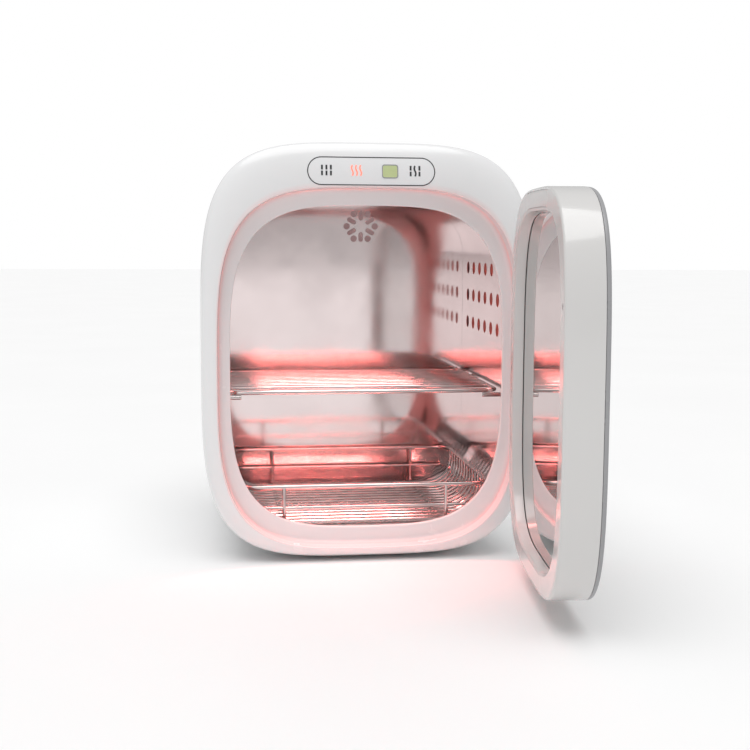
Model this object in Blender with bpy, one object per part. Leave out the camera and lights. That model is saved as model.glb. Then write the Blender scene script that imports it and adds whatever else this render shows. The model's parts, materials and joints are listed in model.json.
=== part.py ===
"""Bottle sterilizer and dryer.

A rounded plastic cabinet holds a mirror-polished steel chamber with a wire shelf, a wire
basket, ultraviolet and heater lamps, and a fan. A deep door with a mirror-tinted pane swings
on two hinges at the right.

X runs to the right seen from the front, Y runs into the cabinet and Z runs up. Pieces are
modelled around the chamber opening, whose centre is at X = 0 and whose front plane is Y = 0,
with the underside of the feet at Z = 0. The door is modelled closed and then swung open. The
last step moves everything so that the origin is the centre of the footprint.
"""

import math

import bmesh
import bpy
from mathutils import Matrix, Vector

MM = 0.001
GAP = 0.3 * MM
LOOP_POINTS = 40
CORNER_BIAS = 0.7
SMOOTH_ANGLE = math.radians(35)

# Heights above the underside of the feet
OPENING_Z = 191.6 * MM
BODY_Z = 208.0 * MM
FOOT_HEIGHT = 4.7 * MM

# Outlines are superellipses: half width, half height, power, centre height
BODY = (165.0 * MM, 204.0 * MM, 4.1, BODY_Z)
RECESS = (149.0 * MM, 177.0 * MM, 3.6, OPENING_Z)
OPENING = (136.5 * MM, 160.0 * MM, 3.5, OPENING_Z)
DOOR = (143.0 * MM, 172.0 * MM, 3.9, OPENING_Z)
REAR_TAPER = 4.0 * MM

# Depths of the cabinet, front to back
FRONT_Y = -21.0 * MM
SHOULDER_Y = -7.0 * MM
BEZEL_END_Y = 30.0 * MM
CASING_END_Y = 262.0 * MM
BACK_Y = 285.0 * MM
SKIN = 2.5 * MM

# Chamber
CHAMBER_HALF_WIDTH = 146.5 * MM
CHAMBER_HALF_HEIGHT = 166.0 * MM
CHAMBER_RADIUS = 56.0 * MM
CHAMBER_FRONT_Y = 3.3 * MM
CHAMBER_BACK_Y = 248.0 * MM
SHEET = 1.0 * MM

# Vents in the right wall of the chamber
VENT_RADIUS = 7.0 * MM
VENT_PITCH = 30.0 * MM
VENT_COLUMNS = 7
VENT_FIRST_Y = 36.0 * MM
VENT_ROWS_Z = (OPENING_Z + 95 * MM, OPENING_Z + 63.5 * MM, OPENING_Z + 32 * MM)

# Fan behind the grille in the back wall
FAN_X = 23.0 * MM
FAN_Z = OPENING_Z + 142.5 * MM
GRILLE_RADIUS = 16.7 * MM
GRILLE_HOLE_RADIUS = 3.8 * MM
GRILLE_SLOT = (11.4 * MM, 5.4 * MM)
GRILLE_SLOT_CENTRE = 12.5 * MM
IMPELLER_RADIUS = 22.0 * MM
BLADES = 12

# Wire shelf
SHELF_Z = OPENING_Z - 28.2 * MM
SHELF_HALF_WIDTH = 140.0 * MM
SHELF_FRONT_Y = 37.0 * MM
SHELF_BACK_Y = 238.0 * MM
SHELF_RAIL_GAP = 40.0 * MM
SHELF_PITCH = 14.0 * MM
SHELF_WIRES = 11
PEG_END_X = 124.7 * MM
PEG_RADIUS = 2.2 * MM
PEG_REAR_Y = 215.0 * MM

# Wire basket
BASKET_HALF_WIDTH = 129.0 * MM
BASKET_RIM_Z = OPENING_Z - 121.4 * MM
BASKET_RAIL_Z = OPENING_Z - 142.9 * MM
BASKET_FLOOR_Z = OPENING_Z - 160.5 * MM
BASKET_FRONT_Y = 14.0 * MM
BASKET_BACK_Y = 240.0 * MM
BASKET_BEND = 28.0 * MM
BASKET_PITCH = 14.0 * MM
BASKET_WIRES = 15
BASKET_CORNER = 20.0 * MM
BASKET_STUB = 3.0 * MM
BASKET_RIM_RADIUS = 2.2 * MM
BASKET_WIRE_RADIUS = 1.4 * MM
BASKET_POST_X = 83.0 * MM
BASKET_POST_RADIUS = 2.0 * MM
BASKET_RUNNER_DROP = 2.1 * MM
RUNNER_BEND = 3.0 * MM
RUNNER_END_Z = BASKET_FLOOR_Z + 2.0 * MM
BASKET_RAIL_RADIUS = 1.8 * MM
BASKET_RAIL_END_X = 119.5 * MM
BASKET_RAIL_WIRE_X = 127.2 * MM

# Control panel in the top border of the bezel
PANEL_Z = OPENING_Z + 192.5 * MM
PANEL_HALF_WIDTH = 62.5 * MM
PANEL_HALF_HEIGHT = 14.0 * MM
LCD_X = 18.0 * MM
LCD_HALF_WIDTH = 7.9 * MM
LCD_HALF_HEIGHT = 6.6 * MM

# Door, closed
DOOR_BACK_Y = -3.0 * MM
DOOR_COVER_Y = -35.0 * MM
DOOR_FRONT_Y = -39.4 * MM
DOOR_RIM = 17.5 * MM
DOOR_STEP_Y = -13.0 * MM
MIRROR_FRONT_Y = DOOR_STEP_Y - 2.4 * MM
MIRROR_THICKNESS = 2.0 * MM
GLASS_Y = -26.5 * MM
GLASS_THICKNESS = 4.0 * MM
PANE_INSET = 8.0 * MM
INSERT_ANGLE = math.radians(18.3)
SENSOR_Z = OPENING_Z + 77 * MM
SENSOR_X = -133.4 * MM

# Hinge
HINGE_X = 156.0 * MM
HINGE_Y = -21.0 * MM
HINGE_Z_OFFSET = 85.0 * MM
KNUCKLE_RADIUS = 5.0 * MM
ARM_HALF_LENGTH = 8.0 * MM
BRACKET_HALF_LENGTH = 16.0 * MM
LEAF_HALF_THICKNESS = 3.0 * MM
LEAF_END_Y = -2.0 * MM
PIN_RADIUS = 2.0 * MM
PIN_BORE = 2.3 * MM
DOOR_OPEN_ANGLE = math.radians(84.15)

# Feet and rear screws
FOOT_X = 80.0 * MM
FOOT_YS = {"front": 46.0 * MM, "rear": 238.0 * MM}
FOOT_RADIUS = 11.0 * MM
SCREW_X = 147.0 * MM
SCREW_Z_OFFSET = 100.0 * MM
SCREW_RADIUS = 1.6 * MM
SCREW_BORE = 1.9 * MM


# ---------------------------------------------------------------- materials

def material(name, colour, roughness, metallic=0.0):
    """A Principled material with one colour."""
    result = bpy.data.materials.new(name)
    result.use_nodes = True
    shader = result.node_tree.nodes["Principled BSDF"]
    shader.inputs["Base Color"].default_value = (*colour, 1.0)
    shader.inputs["Roughness"].default_value = roughness
    shader.inputs["Metallic"].default_value = metallic
    return result


# ---------------------------------------------------------------- outlines

def superellipse(shape, inset=0.0):
    """Points (x, z) of a superellipse outline, moved inwards by an inset, closer at the corners."""
    half_width, half_height, power, centre_z = shape
    points = []
    for step in range(LOOP_POINTS):
        turn = 2 * math.pi * step / LOOP_POINTS
        across = half_width * math.copysign(abs(math.cos(turn)) ** CORNER_BIAS, math.cos(turn))
        along = half_height * math.copysign(abs(math.sin(turn)) ** CORNER_BIAS, math.sin(turn))
        level = abs(across / (half_width - inset)) ** power + abs(along / (half_height - inset)) ** power
        scale = level ** (-1 / power)
        points.append((across * scale, centre_z + along * scale))
    return points


def mix(first, second, share):
    """The superellipse that lies a share of the way from the first to the second."""
    return tuple(a + (b - a) * share for a, b in zip(first, second))


def rounded_rectangle(half_width, half_height, radius, centre=(0.0, 0.0), steps=4):
    """Points of a rectangle with round corners."""
    points = []
    for quarter in range(4):
        sign_x = 1 if quarter in (0, 3) else -1
        sign_y = 1 if quarter in (0, 1) else -1
        corner_x = centre[0] + sign_x * (half_width - radius)
        corner_y = centre[1] + sign_y * (half_height - radius)
        for step in range(steps + 1):
            angle = math.pi / 2 * (quarter + step / steps)
            points.append((corner_x + radius * math.cos(angle), corner_y + radius * math.sin(angle)))
    return points


def circle(radius, centre, count):
    """Points of a circle."""
    points = []
    for step in range(count):
        angle = 2 * math.pi * (step + 0.5) / count
        points.append((centre[0] + radius * math.cos(angle), centre[1] + radius * math.sin(angle)))
    return points


def at_depth(points, y):
    """Lift an (x, z) outline to the depth y."""
    return [(x, y, z) for x, z in points]


def at_height(points, z):
    """Lift an (x, y) outline to the height z."""
    return [(x, y, z) for x, y in points]


# ---------------------------------------------------------------- mesh helpers

def finish(name, mesh_data, surface):
    """Turn a bmesh into a linked object with its own material and smooth shading."""
    bmesh.ops.recalc_face_normals(mesh_data, faces=mesh_data.faces)
    mesh = bpy.data.meshes.new(name)
    mesh_data.to_mesh(mesh)
    mesh_data.free()
    mesh.shade_smooth()
    mesh.set_sharp_from_angle(angle=SMOOTH_ANGLE)
    result = bpy.data.objects.new(name, mesh)
    bpy.context.scene.collection.objects.link(result)
    if surface is not None:
        mesh.materials.append(surface)
    return result


def add_loft(mesh_data, loops, closed=False):
    """Skin a stack of equal loops. A closed stack makes a ring, an open one gets end caps."""
    rings = [[mesh_data.verts.new(point) for point in loop] for loop in loops]
    pairs = list(zip(rings, rings[1:]))
    if closed:
        pairs.append((rings[-1], rings[0]))
    else:
        mesh_data.faces.new(rings[0])
        mesh_data.faces.new(rings[-1])
    for lower, upper in pairs:
        for i, start in enumerate(lower):
            j = (i + 1) % len(lower)
            mesh_data.faces.new((start, lower[j], upper[j], upper[i]))


def loft(name, loops, surface, closed=False):
    """An object skinned over a stack of loops."""
    mesh_data = bmesh.new()
    add_loft(mesh_data, loops, closed)
    return finish(name, mesh_data, surface)


def add_rod(mesh_data, start, end, radius, sides=12):
    """A straight rod between two points."""
    start, end = Vector(start), Vector(end)
    direction = end - start
    turn = direction.to_track_quat("Z", "Y").to_matrix().to_4x4()
    place = Matrix.Translation((start + end) / 2) @ turn
    bmesh.ops.create_cone(
        mesh_data, cap_ends=True, segments=sides, radius1=radius, radius2=radius,
        depth=direction.length, matrix=place,
    )


def add_block(mesh_data, low, high):
    """A box between two corners."""
    low, high = Vector(low), Vector(high)
    size = Matrix.Diagonal((*(high - low), 1.0))
    bmesh.ops.create_cube(mesh_data, size=1.0, matrix=Matrix.Translation((low + high) / 2) @ size)


def add_wire(mesh_data, path, radius, normal, sides=6, closed=False):
    """A wire swept along a path that lies in the plane with the given normal."""
    path = [Vector(point) for point in path]
    normal = Vector(normal).normalized()
    loops = []
    for i, point in enumerate(path):
        before = path[i - 1] if closed or i > 0 else point
        after = path[(i + 1) % len(path)] if closed or i < len(path) - 1 else point
        tangent = (after - before).normalized()
        side = tangent.cross(normal)
        turns = [2 * math.pi * (step + 0.5) / sides for step in range(sides)]
        loops.append([point + radius * (math.cos(t) * normal + math.sin(t) * side) for t in turns])
    add_loft(mesh_data, loops, closed)


def rod(name, start, end, radius, surface, sides=16):
    """A straight rod as an object of its own."""
    mesh_data = bmesh.new()
    add_rod(mesh_data, start, end, radius, sides)
    return finish(name, mesh_data, surface)


def block(name, low, high, surface):
    """A box as an object of its own."""
    mesh_data = bmesh.new()
    add_block(mesh_data, low, high)
    return finish(name, mesh_data, surface)


def combine(target, operation, tool):
    """Join a tool to a target, or cut it away, and leave the tool out of the model."""
    modifier = target.modifiers.new(tool.name, "BOOLEAN")
    modifier.operation = operation
    modifier.solver = "EXACT"
    modifier.object = tool
    tool.hide_render = True
    tool.display_type = "WIRE"


def cut(target, tool_name, build):
    """Cut a target with the bodies that build(mesh_data) adds."""
    mesh_data = bmesh.new()
    build(mesh_data)
    combine(target, "DIFFERENCE", finish(tool_name, mesh_data, None))


def join(target, tool_name, build):
    """Join the bodies that build(mesh_data) adds to a target."""
    mesh_data = bmesh.new()
    build(mesh_data)
    combine(target, "UNION", finish(tool_name, mesh_data, None))


# ---------------------------------------------------------------- cabinet shells

def bezel_front_y(x, z):
    """Depth of the bezel's domed front surface at a point of its border."""
    low, high = 0.0, 1.0
    for _ in range(30):
        share = (low + high) / 2
        half_width, half_height, power, centre_z = mix(RECESS, BODY, share)
        level = abs(x / half_width) ** power + abs((z - centre_z) / half_height) ** power
        if level > 1:
            low = share
        else:
            high = share
    return SHOULDER_Y + (FRONT_Y - SHOULDER_Y) * math.sqrt(1 - share ** 2)


def make_front_bezel(surface):
    """Domed front moulding: skirt, domed border, recess for the door and opening lip."""
    wall = 3.0 * MM
    flange_y = CHAMBER_FRONT_Y - GAP
    inner_front_y = FRONT_Y + 5.0 * MM
    inner_shoulder_y = SHOULDER_Y + 2.0 * MM
    recess_profile = ((0.3, -8.0), (1.0, -4.5), (2.5, -2.6), (5.0, -1.6))
    loops = [
        at_depth(superellipse(BODY), BEZEL_END_Y),
        at_depth(superellipse(BODY), SHOULDER_Y),
    ]
    for degrees in (28, 52, 72):
        turn = math.radians(degrees)
        depth = SHOULDER_Y + (FRONT_Y - SHOULDER_Y) * math.sin(turn)
        loops.append(at_depth(superellipse(mix(RECESS, BODY, math.cos(turn))), depth))
    loops.append(at_depth(superellipse(RECESS), FRONT_Y))
    for inset, depth in recess_profile:
        loops.append(at_depth(superellipse(RECESS, inset * MM), depth * MM))
    loops.append(at_depth(superellipse(OPENING, -1.0 * MM), -0.4 * MM))
    loops.append(at_depth(superellipse(OPENING), 0.6 * MM))
    loops.append(at_depth(superellipse(OPENING), flange_y))
    loops.append(at_depth(superellipse(RECESS, -wall), flange_y))
    loops.append(at_depth(superellipse(RECESS, -wall), inner_front_y))
    for degrees in (60, 25):
        turn = math.radians(degrees)
        depth = inner_shoulder_y + (inner_front_y - inner_shoulder_y) * math.sin(turn)
        middle = mix(RECESS, BODY, math.cos(turn))
        loops.append(at_depth(superellipse(middle, wall * (2 * math.cos(turn) - 1)), depth))
    loops.append(at_depth(superellipse(BODY, wall), BEZEL_END_Y))
    bezel = loft("front_bezel", loops, surface, closed=True)
    cut(bezel, "panel_cutter", lambda data: add_loft(data, panel_prism(0.0)))
    for side in (-1, 1):
        cut(bezel, "hinge_cutter_%d" % side, lambda data, s=side: add_hinge_notch(data, s))
        cut(bezel, "leaf_cutter_%d" % side, lambda data, s=side: add_leaf_slot(data, s))


def add_hinge_notch(mesh_data, side):
    """Notch in the right border for one hinge's knuckles."""
    z = OPENING_Z + side * HINGE_Z_OFFSET
    reach = BRACKET_HALF_LENGTH + GAP
    add_block(mesh_data, (HINGE_X - 13 * MM, -30 * MM, z - reach),
              (HINGE_X + 7 * MM, HINGE_Y + KNUCKLE_RADIUS + 0.6 * MM, z + reach))


def add_leaf_slot(mesh_data, side):
    """Slot through the floor of a hinge notch for the bracket's leaf."""
    z = OPENING_Z + side * HINGE_Z_OFFSET
    reach = BRACKET_HALF_LENGTH + GAP
    half = LEAF_HALF_THICKNESS + GAP
    add_block(mesh_data, (HINGE_X - half, -29 * MM, z - reach + 0.05 * MM),
              (HINGE_X + half, LEAF_END_Y + 2 * MM, z + reach - 0.05 * MM))


def make_casing_shell(surface):
    """Tube behind the bezel, with foot bosses below and screw bosses at the rear."""
    front_y = BEZEL_END_Y + GAP
    loops = [
        at_depth(superellipse(BODY), front_y),
        at_depth(superellipse(BODY, REAR_TAPER), CASING_END_Y),
        at_depth(superellipse(BODY, REAR_TAPER + SKIN), CASING_END_Y),
        at_depth(superellipse(BODY, SKIN), front_y),
    ]
    casing = loft("casing_shell", loops, surface, closed=True)

    def foot_bosses(mesh_data):
        for y in FOOT_YS.values():
            for side in (-1, 1):
                low = (side * FOOT_X, y, FOOT_HEIGHT + GAP)
                high = (side * FOOT_X, y, FOOT_HEIGHT + 11.5 * MM)
                add_rod(mesh_data, low, high, FOOT_RADIUS + 2 * MM, 16)

    def screw_bosses(mesh_data):
        for side in (-1, 1):
            for level in (-1, 1):
                z = BODY_Z + level * SCREW_Z_OFFSET
                inner, outer = sorted((side * 142 * MM, side * 157.2 * MM))
                add_block(mesh_data, (inner, 250 * MM, z - 6.5 * MM),
                          (outer, CASING_END_Y - 0.1 * MM, z + 6.5 * MM))

    join(casing, "foot_bosses", foot_bosses)
    join(casing, "screw_bosses", screw_bosses)
    cut(casing, "boss_bores", lambda data: add_screw_bores(data, 251 * MM, 270 * MM))


def add_screw_bores(mesh_data, start_y, end_y):
    """The four bores for the rear screws."""
    for side in (-1, 1):
        for level in (-1, 1):
            x, z = side * SCREW_X, BODY_Z + level * SCREW_Z_OFFSET
            add_rod(mesh_data, (x, start_y, z), (x, end_y, z), SCREW_BORE, 12)


def make_rear_cover(surface):
    """Dished back with fan slots, low intake slots, screw holes and the inlet's cut-out."""
    rim_y = CASING_END_Y + GAP
    outer = ((4.0, rim_y), (4.4, 278 * MM), (6.0, 282.5 * MM), (10.0, BACK_Y))
    inner = ((12.5, 282.3 * MM), (8.6, 279.5 * MM), (6.6, rim_y))
    loops = [at_depth(superellipse(BODY, inset * MM), y) for inset, y in inner + outer]
    cover = loft("rear_cover", loops, surface)

    def slots(mesh_data):
        for row in range(6):
            z = FAN_Z - 20 * MM + row * 8 * MM
            add_block(mesh_data, (FAN_X - 26 * MM, 281 * MM, z), (FAN_X + 26 * MM, 287 * MM, z + 3.5 * MM))
        for column in range(9):
            x = -16 * MM + column * 12 * MM
            add_block(mesh_data, (x, 281 * MM, 42 * MM), (x + 4 * MM, 287 * MM, 74 * MM))

    cut(cover, "cover_slots", slots)
    cut(cover, "cover_bores", lambda data: add_screw_bores(data, 275 * MM, 290 * MM))
    cut(cover, "inlet_hole", lambda data: add_block(
        data, (-104.3 * MM, 275 * MM, 45.7 * MM), (-75.7 * MM, 290 * MM, 66.3 * MM)))


def make_feet(surface):
    """Four round rubber feet with flat undersides."""
    for end, y in FOOT_YS.items():
        for side, word in ((-1, "left"), (1, "right")):
            centre = (side * FOOT_X, y)
            loops = [
                at_height(circle(FOOT_RADIUS - 1.2 * MM, centre, 20), 0.0),
                at_height(circle(FOOT_RADIUS, centre, 20), 1.2 * MM),
                at_height(circle(FOOT_RADIUS, centre, 20), FOOT_HEIGHT),
            ]
            loft("foot_%s_%s" % (end, word), loops, surface)


def make_rear_screws(surface):
    """Four screws that hold the rear cover to the casing's bosses."""
    for side, word in ((-1, "left"), (1, "right")):
        for level, height in ((-1, "lower"), (1, "upper")):
            centre = (side * SCREW_X, BODY_Z + level * SCREW_Z_OFFSET)
            profile = ((SCREW_RADIUS, 254.0), (SCREW_RADIUS, 285.3), (3.2 * MM, 285.3), (2.6 * MM, 287.0))
            loops = [at_depth(circle(radius, centre, 12), y * MM) for radius, y in profile]
            loft("rear_screw_%s_%s" % (height, word), loops, surface)


# ---------------------------------------------------------------- control panel

def panel_prism(shrink):
    """Pill-shaped prism through the bezel's top border."""
    pill = rounded_rectangle(PANEL_HALF_WIDTH - shrink, PANEL_HALF_HEIGHT - shrink,
                             PANEL_HALF_HEIGHT - shrink - 0.01 * MM, (0.0, PANEL_Z), 6)
    return [at_depth(pill, -26 * MM), at_depth(pill, -9.9 * MM)]


def lcd_prism(shrink):
    """Rounded square prism for the display window."""
    square = rounded_rectangle(LCD_HALF_WIDTH - shrink, LCD_HALF_HEIGHT - shrink,
                               2.5 * MM, (LCD_X, PANEL_Z), 3)
    return [at_depth(square, -27 * MM), at_depth(square, -12 * MM)]


def add_panel_slab(mesh_data, low_x, high_x, low_z, high_z, columns, rows, thickness):
    """Slab whose front and back follow the bezel's domed front."""
    layers = []
    for offset in (0.0, thickness):
        layer = []
        for column in range(columns + 1):
            x = low_x + (high_x - low_x) * column / columns
            heights = [low_z + (high_z - low_z) * row / rows for row in range(rows + 1)]
            layer.append([mesh_data.verts.new((x, bezel_front_y(x, z) + offset, z)) for z in heights])
        layers.append(layer)
    front, back = layers
    for i in range(columns):
        for j in range(rows):
            mesh_data.faces.new((front[i][j], front[i + 1][j], front[i + 1][j + 1], front[i][j + 1]))
            mesh_data.faces.new((back[i][j], back[i][j + 1], back[i + 1][j + 1], back[i + 1][j]))
    for i in range(columns):
        for j in (0, rows):
            mesh_data.faces.new((front[i][j], back[i][j], back[i + 1][j], front[i + 1][j]))
    for j in range(rows):
        for i in (0, columns):
            mesh_data.faces.new((front[i][j], front[i][j + 1], back[i][j + 1], back[i][j]))


def make_control_panel(overlay_surface, lens_surface, board_surface, module_surface):
    """Touch overlay flush with the bezel, display window, display module and touch board."""
    thickness = 1.6 * MM
    mesh_data = bmesh.new()
    add_panel_slab(mesh_data, -64 * MM, 64 * MM, PANEL_Z - 15 * MM, PANEL_Z + 15 * MM, 8, 5, thickness)
    overlay = finish("control_overlay", mesh_data, overlay_surface)
    mesh_data = bmesh.new()
    add_loft(mesh_data, panel_prism(GAP))
    combine(overlay, "INTERSECT", finish("overlay_outline", mesh_data, None))
    cut(overlay, "overlay_window", lambda data: add_loft(data, lcd_prism(-GAP)))

    mesh_data = bmesh.new()
    reach_x, reach_z = LCD_HALF_WIDTH + 1 * MM, LCD_HALF_HEIGHT + 1 * MM
    add_panel_slab(mesh_data, LCD_X - reach_x, LCD_X + reach_x, PANEL_Z - reach_z, PANEL_Z + reach_z,
                   2, 3, thickness)
    window = finish("lcd_window", mesh_data, lens_surface)
    mesh_data = bmesh.new()
    add_loft(mesh_data, lcd_prism(0.0))
    combine(window, "INTERSECT", finish("window_outline", mesh_data, None))

    block("lcd_module", (LCD_X - 8.5 * MM, -16 * MM, PANEL_Z - 7 * MM),
          (LCD_X + 8.5 * MM, -10.1 * MM, PANEL_Z + 7 * MM), module_surface)
    block("touch_board", (-58 * MM, -9.8 * MM, PANEL_Z - 8 * MM),
          (58 * MM, -8.2 * MM, PANEL_Z + 8 * MM), board_surface)


# ---------------------------------------------------------------- chamber

def make_chamber(steel):
    """Steel wrap with vents and a lamp window, and the back wall with the fan grille."""
    centre = (0.0, OPENING_Z)
    inner = rounded_rectangle(CHAMBER_HALF_WIDTH, CHAMBER_HALF_HEIGHT, CHAMBER_RADIUS, centre, 6)
    outer = rounded_rectangle(CHAMBER_HALF_WIDTH + SHEET, CHAMBER_HALF_HEIGHT + SHEET,
                              CHAMBER_RADIUS + SHEET, centre, 6)
    end_y = CHAMBER_BACK_Y - GAP
    loops = [at_depth(inner, CHAMBER_FRONT_Y), at_depth(inner, end_y),
             at_depth(outer, end_y), at_depth(outer, CHAMBER_FRONT_Y)]
    wrap = loft("chamber_wrap", loops, steel, closed=True)

    def vents(mesh_data):
        for z in VENT_ROWS_Z:
            for column in range(VENT_COLUMNS):
                y = VENT_FIRST_Y + column * VENT_PITCH
                add_rod(mesh_data, (140 * MM, y, z), (152 * MM, y, z), VENT_RADIUS, 12)

    cut(wrap, "vent_cutters", vents)
    cut(wrap, "lamp_window", lambda data: add_block(
        data, (-104 * MM, 47 * MM, OPENING_Z + 160 * MM), (104 * MM, 103 * MM, OPENING_Z + 172 * MM)))

    plate = rounded_rectangle(CHAMBER_HALF_WIDTH + 1.4 * MM, CHAMBER_HALF_HEIGHT + 1.4 * MM,
                              CHAMBER_RADIUS + 1.4 * MM, centre, 6)
    back = loft("chamber_back", [at_depth(plate, CHAMBER_BACK_Y), at_depth(plate, CHAMBER_BACK_Y + SHEET)],
                steel)

    def grille(mesh_data):
        start_y, end_y = CHAMBER_BACK_Y - 4 * MM, CHAMBER_BACK_Y + 5 * MM
        half_long, half_wide = GRILLE_SLOT[0] / 2, GRILLE_SLOT[1] / 2
        for step in range(6):
            angle = math.radians(60 * step)
            x, z = FAN_X + GRILLE_RADIUS * math.cos(angle), FAN_Z + GRILLE_RADIUS * math.sin(angle)
            add_rod(mesh_data, (x, start_y, z), (x, end_y, z), GRILLE_HOLE_RADIUS, 10)
            angle = math.radians(60 * step + 30)
            slot = rounded_rectangle(half_long, half_wide, half_wide * 0.99, (GRILLE_SLOT_CENTRE, 0.0), 3)
            turned = [(FAN_X + u * math.cos(angle) - v * math.sin(angle),
                       FAN_Z + u * math.sin(angle) + v * math.cos(angle)) for u, v in slot]
            add_loft(mesh_data, [at_depth(turned, start_y), at_depth(turned, end_y)])

    cut(back, "grille_cutters", grille)


def make_shelf_pegs(steel):
    """Four pegs on the side walls that carry the shelf."""
    peg_z = SHELF_Z - 4.7 * MM
    for y, end in ((SHELF_FRONT_Y, "front"), (PEG_REAR_Y, "rear")):
        for side, word in ((-1, "left"), (1, "right")):
            wall_x = CHAMBER_HALF_WIDTH - GAP
            profile = ((4.6 * MM, wall_x), (4.6 * MM, wall_x - 1.2 * MM),
                       (PEG_RADIUS, wall_x - 1.2 * MM), (PEG_RADIUS, PEG_END_X))
            loops = []
            for radius, x in profile:
                loops.append([(side * x, u, v) for u, v in circle(radius, (y, peg_z), 12)])
            loft("shelf_peg_%s_%s" % (end, word), loops, steel)


def make_lamps(glass, heater_glass, reflector_surface, socket_surface):
    """Ceiling reflector over the lamp window, with two ultraviolet tubes and a heater tube."""
    low_z = OPENING_Z + CHAMBER_HALF_HEIGHT + SHEET + 0.4 * MM
    reflector = block("lamp_reflector", (-113 * MM, 42 * MM, low_z), (113 * MM, 108 * MM, low_z + 31 * MM),
                      reflector_surface)
    cut(reflector, "reflector_hollow", lambda data: add_block(
        data, (-111.5 * MM, 43.5 * MM, low_z - 5 * MM), (111.5 * MM, 106.5 * MM, low_z + 29.5 * MM)))
    lamp_z = low_z + 14.6 * MM
    end_x = 100.7 * MM
    for name, y, radius, surface in (("uv_lamp_front", 57.5 * MM, 7.7 * MM, glass),
                                     ("heater_lamp", 75 * MM, 5 * MM, heater_glass),
                                     ("uv_lamp_rear", 92.5 * MM, 7.7 * MM, glass)):
        rod(name, (-end_x, y, lamp_z), (end_x, y, lamp_z), radius, surface, 16)
    for side, word in ((-1, "left"), (1, "right")):
        inner, outer = sorted((side * 101 * MM, side * 110 * MM))
        block("lamp_socket_%s" % word, (inner, 47 * MM, lamp_z - 10 * MM),
              (outer, 103 * MM, lamp_z + 10 * MM), socket_surface)


# ---------------------------------------------------------------- fan, duct and electronics

def make_fan(housing_surface, motor_surface, impeller_surface):
    """Fan housing and motor behind the back wall, and the impeller that turns in them."""
    centre = (FAN_X, FAN_Z)
    start_y, floor_y, end_y = 249.3 * MM, 265.0 * MM, 267.0 * MM
    outer, inner = 35 * MM, 33 * MM
    loops = [
        at_depth(circle(inner, centre, 28), floor_y),
        at_depth(circle(inner, centre, 28), start_y),
        at_depth(circle(outer, centre, 28), start_y),
        at_depth(circle(outer, centre, 28), end_y),
    ]
    housing = loft("fan_housing", loops, housing_surface)
    cut(housing, "shaft_hole", lambda data: add_rod(
        data, (FAN_X, 260 * MM, FAN_Z), (FAN_X, 270 * MM, FAN_Z), 3 * MM, 12))
    cut(housing, "fan_outlet", lambda data: add_block(
        data, (FAN_X + 20 * MM, 251 * MM, FAN_Z - 30 * MM), (FAN_X + 40 * MM, 264 * MM, FAN_Z - 6 * MM)))

    motor = rod("fan_motor", (FAN_X, 267.3 * MM, FAN_Z), (FAN_X, 280.5 * MM, FAN_Z), 13 * MM,
                motor_surface, 20)
    cut(motor, "motor_bore", lambda data: add_rod(
        data, (FAN_X, 262 * MM, FAN_Z), (FAN_X, 276.3 * MM, FAN_Z), 1.8 * MM, 12))

    hub_radius, blade_half = 8 * MM, 0.8 * MM
    star = []
    for blade in range(BLADES):
        corners = ((hub_radius, -1), (IMPELLER_RADIUS, -1), (IMPELLER_RADIUS, 1), (hub_radius, 1))
        for radius, offset in corners:
            angle = 2 * math.pi * blade / BLADES + (0.35 if radius > hub_radius else 0.0)
            angle += offset * blade_half / radius
            star.append((radius * math.cos(angle), radius * math.sin(angle)))
    impeller = loft("fan_impeller", [at_depth(star, -6 * MM), at_depth(star, 6 * MM)], impeller_surface)
    join(impeller, "impeller_shaft", lambda data: add_rod(
        data, (0, 0, 0), (0, 19 * MM, 0), 1.5 * MM, 12))
    impeller.location = (FAN_X, 257 * MM, FAN_Z)
    impeller.modifiers[0].object.location = impeller.location
    return impeller


def make_duct(surface):
    """Trough outside the vented wall, open towards the vents and towards the rear."""
    low_z, high_z = OPENING_Z + 18 * MM, OPENING_Z + 112 * MM
    duct = block("air_duct", (148.0 * MM, 24 * MM, low_z), (155.4 * MM, 246 * MM, high_z), surface)
    cut(duct, "duct_hollow", lambda data: add_block(
        data, (140 * MM, 25.4 * MM, low_z + 1.4 * MM), (154 * MM, 255 * MM, high_z - 1.4 * MM)))


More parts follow.
